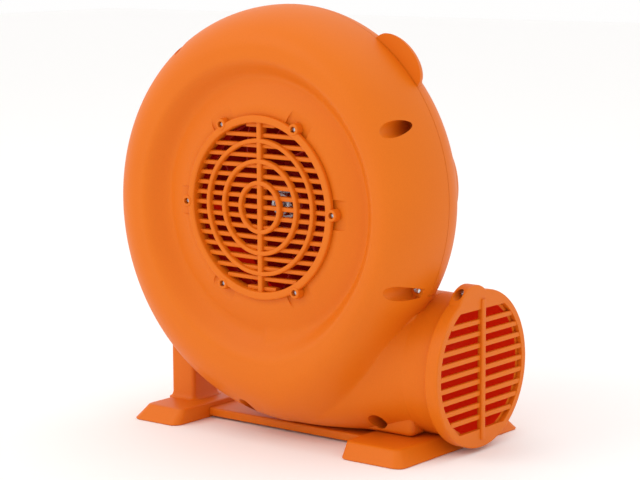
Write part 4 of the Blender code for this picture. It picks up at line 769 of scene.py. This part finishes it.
def padLayers(spanX, outer):
    # the outer end and both long ends slope, and the top edge is rounded over
    f = feet
    layers = []
    for share, z in f["slope"]:
        run = f["run"] * share
        inner = max(run - f["run"], 0.0) * f["innerShare"] + max(-run, 0.0)
        slope = (run, -inner) if outer < 0 else (inner, -run)
        if share < 0.0:
            run = -run
            slope = (run, -run)
        layers.append((spanX[0] + slope[0], spanX[1] + slope[1], f["y"][0] + run, f["y"][1] - run,
                       f["corner"] - abs(run) * f["cornerShare"], z))
    return layers


def makeFeet():
    f = feet
    keepOut = bodyWith("keepOut", -f["gap"], housing["tubeEnd"])
    left = makeSolid("left", [ramp(padLayers(f["leftX"], -1))])
    flare = [(f["legFlare"] * share, z) for share, z in (*f["legRoot"], (0.0, f["legTop"]))]
    legLayers = [(f["legX"][0] - out, f["legX"][1] + out, f["legY"][0] - out, f["legY"][1] + out,
                  f["legCorner"] + out, z) for out, z in flare]
    joinTo(left, makeSolid("leg", [ramp(legLayers)]))
    solidOp(left, keepOut, "DIFFERENCE", keep=True)
    right = makeSolid("right", [ramp(padLayers(f["rightX"], 1))])
    cutFrom(right, keepOut, makeRods("collarRoom", [(0.0, housing["outletZ"])], guard["outerR"] + f["gap"],
                                     guard["faceX"] - guard["length"] - f["gap"], 0.2, "X", 160))
    railX = (f["leftX"][1] + f["gap"], f["rightX"][0] - f["gap"])
    centre = [sum(span) / 2 for span in (railX, f["railY"], f["railZ"])]
    halves = [(b - a) / 2 for a, b in (f["railY"], f["railZ"], railX)]
    railEnds = [(0.0, -halves[2]), (0.0, halves[2])]
    rail = makeSolid("rail", [block(centre, halves, f["railSoft"], railEnds, axis="X")])
    finishPiece(left, "leftFootMoulding", orangeAbs, "housing", ["left_foot"])
    finishPiece(right, "rightFootMoulding", orangeAbs, "housing", ["right_foot"])
    finishPiece(rail, "baseRailMoulding", orangeAbs, "housing", ["base_rail"])


makeFeet()
print("feet made")


# impeller: a back plate, swept blades, a front ring and a cone-shaped hub

wheel = {
    "outerR": 0.0980, "eyeR": 0.0640, "backY": 0.0065, "frontY": -0.0640, "plate": 0.0024,
    "hubR": 0.0140, "hubY": -0.0470, "boreR": 0.0043, "bushR": 0.0083, "bushEndY": -0.0187,
    "blades": 11, "bladeIn": 0.0420, "sweep": 38.0, "bladeThick": 0.0018, "bladeEndGap": 0.0006,
    "coneR": 2.2, "coneTopR": 1.2, "coneHeight": 0.0120,
}


def bladeGrid(start, inner, outer, sweep, low, high, thick, steps=14):
    # a curved sheet: the angle falls back with the distance out, a soft edge all round
    share = np.linspace(0.0, 1.0, steps)[:, None]
    radius = inner + (outer - inner) * share
    angle = np.radians(start - sweep * share ** 0.8)
    lead = thick / 2
    section = softCorners([(lead, low), (lead, high), (-lead, high), (-lead, low)], thick * 0.4, 3)
    across = section[None, :, 0]
    y = section[None, :, 1] + 0.0 * share
    slant = np.gradient(angle[:, 0], radius[:, 0])[:, None] * radius
    outX, outZ = np.cos(angle), np.sin(angle)
    normalX = -outZ - slant * outX
    normalZ = outX - slant * outZ
    size = np.sqrt(normalX ** 2 + normalZ ** 2)
    x = radius * outX + across * normalX / size
    z = radius * outZ + across * normalZ / size
    return closeEnds(np.stack([x, y, z + axisZ], -1))


def makeWheel():
    w = wheel
    plateFront = w["backY"] - w["plate"]
    outline = [(w["boreR"], w["backY"]), (w["outerR"], w["backY"]), (w["outerR"], plateFront),
               (w["hubR"] * w["coneR"], plateFront),
               (w["hubR"] * w["coneTopR"], plateFront - w["coneHeight"]), (w["hubR"], w["hubY"]),
               (w["bushR"], w["hubY"]), (w["bushR"], w["bushEndY"]), (w["boreR"], w["bushEndY"])]
    soft = [0.0002, 0.0008, 0.0008, 0.006, 0.010, 0.001, 0.0005, 0.0002, 0.0002]
    whole = makeTurned("plate", softCorners(outline, soft, 6), (0.0, 0.0, axisZ), steps=144)
    ring = [(w["eyeR"], w["frontY"]), (w["outerR"], w["frontY"]), (w["outerR"], w["frontY"] + w["plate"]),
            (w["eyeR"], w["frontY"] + w["plate"])]
    blades = [bladeGrid(360.0 * i / w["blades"], w["bladeIn"], w["outerR"] - w["bladeEndGap"], w["sweep"],
                        w["frontY"] + w["plate"] / 2, w["backY"] - w["plate"] / 2, w["bladeThick"])
              for i in range(w["blades"])]
    joinTo(whole, makeSolid("blades", blades),
           makeTurned("ring", softCorners(ring, 0.0008, 4), (0.0, 0.0, axisZ), steps=144))
    return finishPiece(whole, "impellerWheel", redNylon, "rotor", ["impeller"], 38.0)


makeWheel()
print("impeller made")


# hub nut, screws and the other small hardware

# shares of the nut's half width and half thickness
hubNut = {"faceR": 0.84, "cornerR": 1.02, "chamfer": 0.55, "boreR": 0.0043}
# shares of the head's radius and thickness
screwHead = {
    "domeR": 0.62, "domeDrop": 0.10, "shoulderR": 0.93, "shoulderDrop": 0.50, "underR": 0.98,
    "rimSoft": 0.0002, "crossWidth": 0.17, "crossReach": 0.58, "crossDepth": 0.55,
}
# head radius, head thickness and shank radius
largeScrew = (0.0031, 0.0022, 0.0016)
smallScrew = (0.0021, 0.0014, 0.0012)


def makeNut():
    low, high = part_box("impeller_nut")
    centreY = (low.y + high.y) / 2 - axisY
    half = (high.y - low.y) / 2
    flatR = (high.x - low.x) / 2
    nut = makeSolid("nut", [turned([(0.0, centreY - half), (flatR, centreY - half), (flatR, centreY + half),
                                    (0.0, centreY + half)], (0.0, 0.0, axisZ), steps=6)], closeRows=True)
    faceR, cornerR = flatR * hubNut["faceR"], flatR * hubNut["cornerR"]
    chamfer = [(0.0, centreY - half), (faceR, centreY - half), (cornerR, centreY - half * hubNut["chamfer"]),
               (cornerR, centreY + half), (0.0, centreY + half)]
    solidOp(nut, makeTurned("chamfer", chamfer, (0.0, 0.0, axisZ), steps=64), "INTERSECT")
    cutFrom(nut, makeRods("nutBore", [(0.0, axisZ)], hubNut["boreR"], centreY - 0.02, centreY + 0.02,
                          steps=48))
    return finishPiece(nut, "hubNut", zincSteel, "rotor", ["impeller_nut"], 25.0)


def makeScrew(node, headR, headThick, shankR, headBack=False):
    # a domed head with a cross recess, on a plain shank with a blunt point
    low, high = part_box(node)
    spot = ((low.x + high.x) / 2 - axisX, (low.z + high.z) / 2)
    way = -1.0 if headBack else 1.0
    top = (high.y if headBack else low.y) - axisY
    tip = (low.y if headBack else high.y) - axisY
    under = top + way * headThick
    s = screwHead
    edge = [(0.0, top), (headR * s["domeR"], top + way * headThick * s["domeDrop"]),
            (headR * s["shoulderR"], top + way * headThick * s["shoulderDrop"]),
            (headR, under - way * s["rimSoft"]), (headR * s["underR"], under), (shankR, under),
            (shankR, tip - way * shankR), (0.0, tip)]
    whole = makeTurned("screw", edge, (spot[0], 0.0, spot[1]), steps=36)
    slot, reach, deep = headR * s["crossWidth"], headR * s["crossReach"], headThick * s["crossDepth"]
    for halves in ((reach, slot, deep), (slot, reach, deep)):
        cutFrom(whole, makeSolid("cross", [block((spot[0], top, spot[1]), halves, slot * 0.5, axis="Y")]))
    name = node.replace("_", " ").title().replace(" ", "") + "Fine"
    return finishPiece(whole, name, zincSteel, "housing", [node], 30.0)


makeNut()
for number in range(1, 5):
    makeScrew(f"shell_screw_{number}", *largeScrew)
    makeScrew(f"cover_screw_{number}", *largeScrew, headBack=True)
for number in range(1, intake["bossCount"] + 1):
    makeScrew(f"grille_screw_{number}", *smallScrew)
makeScrew("duct_screw_1", *largeScrew)
makeScrew("outlet_guard_screw", *largeScrew)
print("hardware made")


# motor cover: a domed can with vents, a switch box on its side and four screw ears

cover = {
    "r": 0.0620, "wall": 0.0025, "backY": 0.1050, "round": 0.0150, "gap": 0.0003,
    "earR": 0.0060, "earThick": 0.0040, "earSoft": 0.0010,
    "boxX": -0.0810, "boxInnerX": -0.0300, "boxBackY": 0.0750, "boxHalf": 0.0240,
    "boxSoft": 0.0045, "boxEdge": 0.0022,
    "ventPitch": 0.0110, "ventWidth": 0.0040, "ventR": 0.0400, "ventBridge": 0.0020,
    "switchY": 0.0520, "switchHalfZ": 0.0094, "switchHalfY": 0.0064, "switchSoft": 0.0006,
    "glandX": -0.0690, "glandY": 0.0400, "glandR": 0.0060, "glandReach": 0.0050,
}


def makeCover():
    c = cover
    mountY = backY + c["gap"]

    def can(name, inset, low):
        r, high = c["r"] - inset, c["backY"] - inset
        soft = [0.0, 0.0, (c["round"] - inset) * 1.35, 0.0]
        edge = softCorners([(0.0, low), (r, low), (r, high), (0.0, high)], soft, 12)
        return makeTurned(name, edge, (0.0, 0.0, axisZ), steps=144)

    def sideBox(name, inset, low):
        # the box reaches into the can, so only its outer sides count
        x0, x1 = c["boxX"] + inset, c["boxInnerX"] - inset * 0.2
        y1 = c["boxBackY"] - inset
        half = c["boxHalf"] - inset
        middle = ((x0 + x1) / 2, (low + y1) / 2, axisZ)
        depth = (y1 - low) / 2
        soft = c["boxEdge"]
        layers = [(0.0, -depth), (0.0, depth - soft), (soft * 0.3, depth - soft * 0.35), (soft, depth)]
        corner = c["boxSoft"] - inset * 0.6
        return makeSolid(name, [block(middle, ((x1 - x0) / 2, half, depth), corner, layers, axis="Y")])

    whole = joinTo(can("can", 0.0, mountY), sideBox("side", 0.0, mountY))
    earTop = mountY + c["earThick"]
    ear = softCorners([(0.0, mountY), (c["earR"], mountY), (c["earR"], earTop), (0.0, earTop)],
                      [0.0, 0.0, c["earSoft"], 0.0], 5)
    ears = [turned(ear, (spot[0], 0.0, spot[1]), steps=36) for spot in coverSpots]
    joinTo(whole, makeSolid("ears", ears, closeRows=True))
    room = joinTo(can("canRoom", c["wall"], mountY - past), sideBox("sideRoom", c["wall"], mountY - past))
    cutFrom(whole, room)
    vents = []
    count = int(c["ventR"] / c["ventPitch"])
    for z in np.arange(-count, count + 1) * c["ventPitch"]:
        half = (math.sqrt(c["ventR"] ** 2 - z ** 2) - c["ventBridge"]) / 2
        for side in (-1.0, 1.0):
            vents.append(block((side * (c["ventBridge"] + half), c["backY"], axisZ + z),
                               (half, c["ventWidth"] / 2, past), c["ventWidth"] * 0.49,
                               [(0.0, -past), (0.0, past)], axis="Y"))
    cutFrom(whole, makeSolid("vents", vents))
    gap = c["gap"]
    cutout = block((c["boxX"], c["switchY"], axisZ), (c["switchHalfY"] + gap, c["switchHalfZ"] + gap, past),
                   c["switchSoft"], axis="X")
    boxFloor = axisZ - c["boxHalf"]
    glandHole = makeRods("glandHole", [(c["glandX"], c["glandY"])], c["glandR"] + gap,
                         boxFloor - c["glandReach"], boxFloor + c["glandReach"], "Z", 40)
    cutFrom(whole, makeSolid("cutout", [cutout]), glandHole)
    cutFrom(whole, makeRods("earHoles", coverSpots, fixings["holeR"], mountY - past, mountY + past, steps=20))
    return finishPiece(whole, "motorCoverMoulding", orangeAbs, "housing",
                       ["motor_cover"], 34.0)


makeCover()


rocker = {
    "flange": 0.0020, "bezelSoft": 0.0016, "bodySoft": 0.0008, "frameWidth": 0.0019, "wellDepth": 0.0080,
    "faceX": -0.0020, "backX": 0.0019, "swell": 0.0011, "swellShift": 0.1, "swellShare": 0.9,
    "length": 0.97, "restTilt": 7.0,
    # how far each row along the rocker draws in, and where it lies
    "rows": ((0.90, -1.0), (1.0, -0.9), (1.0, 0.9), (0.90, 1.0)),
}


def boxFromDatum(node):
    low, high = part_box(node)
    return low - Vector(datum), high - Vector(datum)


def makeSwitch():
    s = rocker
    low, high = boxFromDatum("switch_housing")
    flange = s["flange"]
    bezelX = (low.x, low.x + flange)
    halfY, halfZ = (high.y - low.y) / 2, (high.z - low.z) / 2
    middle = ((low.y + high.y) / 2, (low.z + high.z) / 2)
    bezel = block((sum(bezelX) / 2, *middle), (halfY, halfZ, flange / 2), s["bezelSoft"], axis="X")
    bodyHalf = (high.x - bezelX[1] + overlap) / 2
    bodyBlock = block((high.x - bodyHalf, *middle), (cover["switchHalfY"], cover["switchHalfZ"], bodyHalf),
                      s["bodySoft"], axis="X")
    whole = joinTo(makeSolid("bezel", [bezel]), makeSolid("bodyBlock", [bodyBlock]))
    roomHalves = (cover["switchHalfY"] - s["frameWidth"], cover["switchHalfZ"] - s["frameWidth"],
                  s["wellDepth"])
    room = block((low.x, *middle), roomHalves, cover["switchSoft"], axis="X")
    cutFrom(whole, makeSolid("room", [room]))
    finishPiece(whole, "switchBezel", blackAbs, "housing", ["switch_housing"])
    low, high = boxFromDatum("switch_rocker")
    centre = np.array([(low.x + high.x) / 2, (low.z + high.z) / 2])
    halfZ = (high.z - low.z) / 2 * s["length"]
    tilt = math.radians(s["restTilt"])
    z = np.linspace(-halfZ, halfZ, 15)
    faceX = s["faceX"] + s["swell"] * (1.0 - (np.abs(z) / halfZ - s["swellShift"]) ** 2) * s["swellShare"]
    outline = np.concatenate([np.stack([faceX, z], 1), [[s["backX"], halfZ], [s["backX"], -halfZ]]])
    turnX = outline[:, 0] * math.cos(tilt) + outline[:, 1] * math.sin(tilt)
    turnZ = -outline[:, 0] * math.sin(tilt) + outline[:, 1] * math.cos(tilt)
    halfY = (high.y - low.y) / 2
    rows = [np.stack([turnX * share + centre[0], turnX * 0.0 + (low.y + high.y) / 2 + halfY * shift,
                      turnZ * share + centre[1]], -1) for share, shift in s["rows"]]
    button = makeSolid("rocker", [closeEnds(np.stack(rows))])
    finishPiece(button, "rockerButton", blackAbs, "rocker", ["switch_rocker"], 30.0)


gland = {
    "boreR": 0.0033, "gap": 0.0003, "hexThick": 0.0035, "capTop": 0.0030, "capStraight": 0.0080,
    "capR": 0.86, "noseR": 0.62, "noseLength": 0.0020, "mouth": 0.0014, "soft": 0.0003,
}


def makeGland():
    g = gland
    low, high = boxFromDatum("cable_gland")
    spot = ((low.x + high.x) / 2, (low.y + high.y) / 2, 0.0)
    boxFloor = axisZ - cover["boxHalf"]
    hexTop = boxFloor - g["gap"]
    hexR = (high.x - low.x) / 2
    bore = g["boreR"]
    stubEnd = hexTop - overlap
    stub = [(bore, high.z), (cover["glandR"], high.z), (cover["glandR"], stubEnd), (bore, stubEnd)]
    whole = makeTurned("stub", softCorners(stub, g["soft"], 3), spot, "Z", 48)
    hexLow = hexTop - g["hexThick"]
    hexEdge = [(0.0, hexTop), (hexR, hexTop), (hexR, hexLow), (0.0, hexLow)]
    hexagon = makeTurned("hexagon", hexEdge, spot, "Z", 6)
    capTop, capR = hexTop - g["capTop"], hexR * g["capR"]
    cap = [(0.0, capTop), (capR, capTop), (capR, hexTop - g["capStraight"]),
           (hexR * g["noseR"], low.z + g["noseLength"]), (bore + g["mouth"], low.z), (0.0, low.z)]
    capEdge = softCorners(cap, [0, g["soft"], 0.002, 0.002, 0.0006, 0], 4)
    joinTo(whole, hexagon, makeTurned("cap", capEdge, spot, "Z", 48))
    cutFrom(whole, makeRods("glandBore", [spot[:2]], bore, low.z - past, high.z + past, "Z", 40))
    finishPiece(whole, "cableGlandMoulding", blackAbs, "housing", ["cable_gland"])


makeSwitch()
makeGland()
print("motor cover, switch and gland made")


# CAD pieces that stay: each gets its finish in its own slot

keptFinish = {
    "red_nylon": redNylon, "black_plastic": blackAbs, "zinc_steel": zincSteel,
    "cast_aluminium": castAluminium, "lamination_steel": stackedSteel, "enamelled_copper": woundCopper,
    "white_case": whiteCase, "felt": woolFelt, "orange_plastic": orangeAbs,
}
for row in frame["record"]["subparts"]:
    keptMesh = nodes[row["node"]].data
    for slotNumber in range(len(keptMesh.materials)):
        keptMesh.materials[slotNumber] = keptFinish[row["material_slot"]]
print("kept pieces finished")


# camera, floor and light

studio = {
    "cameraAt": (0.98067, -1.25829, 0.39045), "lookAt": (0.00005, -0.00950, 0.14630),
    "lens": 114.9, "roll": 0.29,
    "sensor": 36.0, "floor": "#fdfcfb", "floorHalf": 6.0, "floorZ": -0.0002, "floorRoughness": 0.9,
    "air": (1.0, 0.995, 0.99), "airPower": 1.0,
    "keyPanel": ((-0.9, -1.5, 1.5), (0.0, 0.0, 0.15), 1.2, 8.0, "#fffaf2"),
    "topPanel": ((0.1, 0.2, 1.9), (0.0, 0.0, 0.1), 1.6, 4.0, "#ffffff"),
}
cameraData = bpy.data.cameras.new("studioCamera")
camera = bpy.data.objects.new("studioCamera", cameraData)
bpy.context.scene.collection.objects.link(camera)
cameraData.lens = studio["lens"]
cameraData.sensor_width = studio["sensor"]
camera.location = studio["cameraAt"]
aim = (Vector(studio["lookAt"]) - camera.location).to_track_quat("-Z", "Y")
camera.rotation_euler = aim.to_euler()
camera.rotation_euler.rotate_axis("Z", math.radians(-studio["roll"]))
bpy.context.scene.camera = camera
bpy.context.scene.view_settings.view_transform = "Standard"

floorMesh = bpy.data.meshes.new("studioFloor")
floorCorners = [(side * studio["floorHalf"], end * studio["floorHalf"], studio["floorZ"])
                for side, end in ((-1, -1), (1, -1), (1, 1), (-1, 1))]
floorMesh.from_pydata(floorCorners, [], [(0, 1, 2, 3)])
floor = bpy.data.objects.new("studioFloor", floorMesh)
bpy.context.scene.collection.objects.link(floor)
floorMaterial = bpy.data.materials.new("paperFloorMatt")
floorMaterial.use_nodes = True
floorShader = floorMaterial.node_tree.nodes["Principled BSDF"]
floorShader.inputs["Base Color"].default_value = (*toLinear(studio["floor"]), 1)
floorShader.inputs["Roughness"].default_value = studio["floorRoughness"]
floorMesh.materials.append(floorMaterial)

world = bpy.data.worlds.new("studioAir")
bpy.context.scene.world = world
world.use_nodes = True
air = world.node_tree.nodes["Background"]
air.inputs["Color"].default_value = (*studio["air"], 1)
air.inputs["Strength"].default_value = studio["airPower"]


def softLight(name, spot, target, size, power, tint):
    # a square panel that faces its target
    data = bpy.data.lights.new(name, "AREA")
    data.size = size
    data.energy = power
    data.color = toLinear(tint)
    light = bpy.data.objects.new(name, data)
    light.location = spot
    light.rotation_euler = (Vector(target) - Vector(spot)).to_track_quat("-Z", "Y").to_euler()
    bpy.context.scene.collection.objects.link(light)


for panel in ("keyPanel", "topPanel"):
    softLight(panel, *studio[panel])
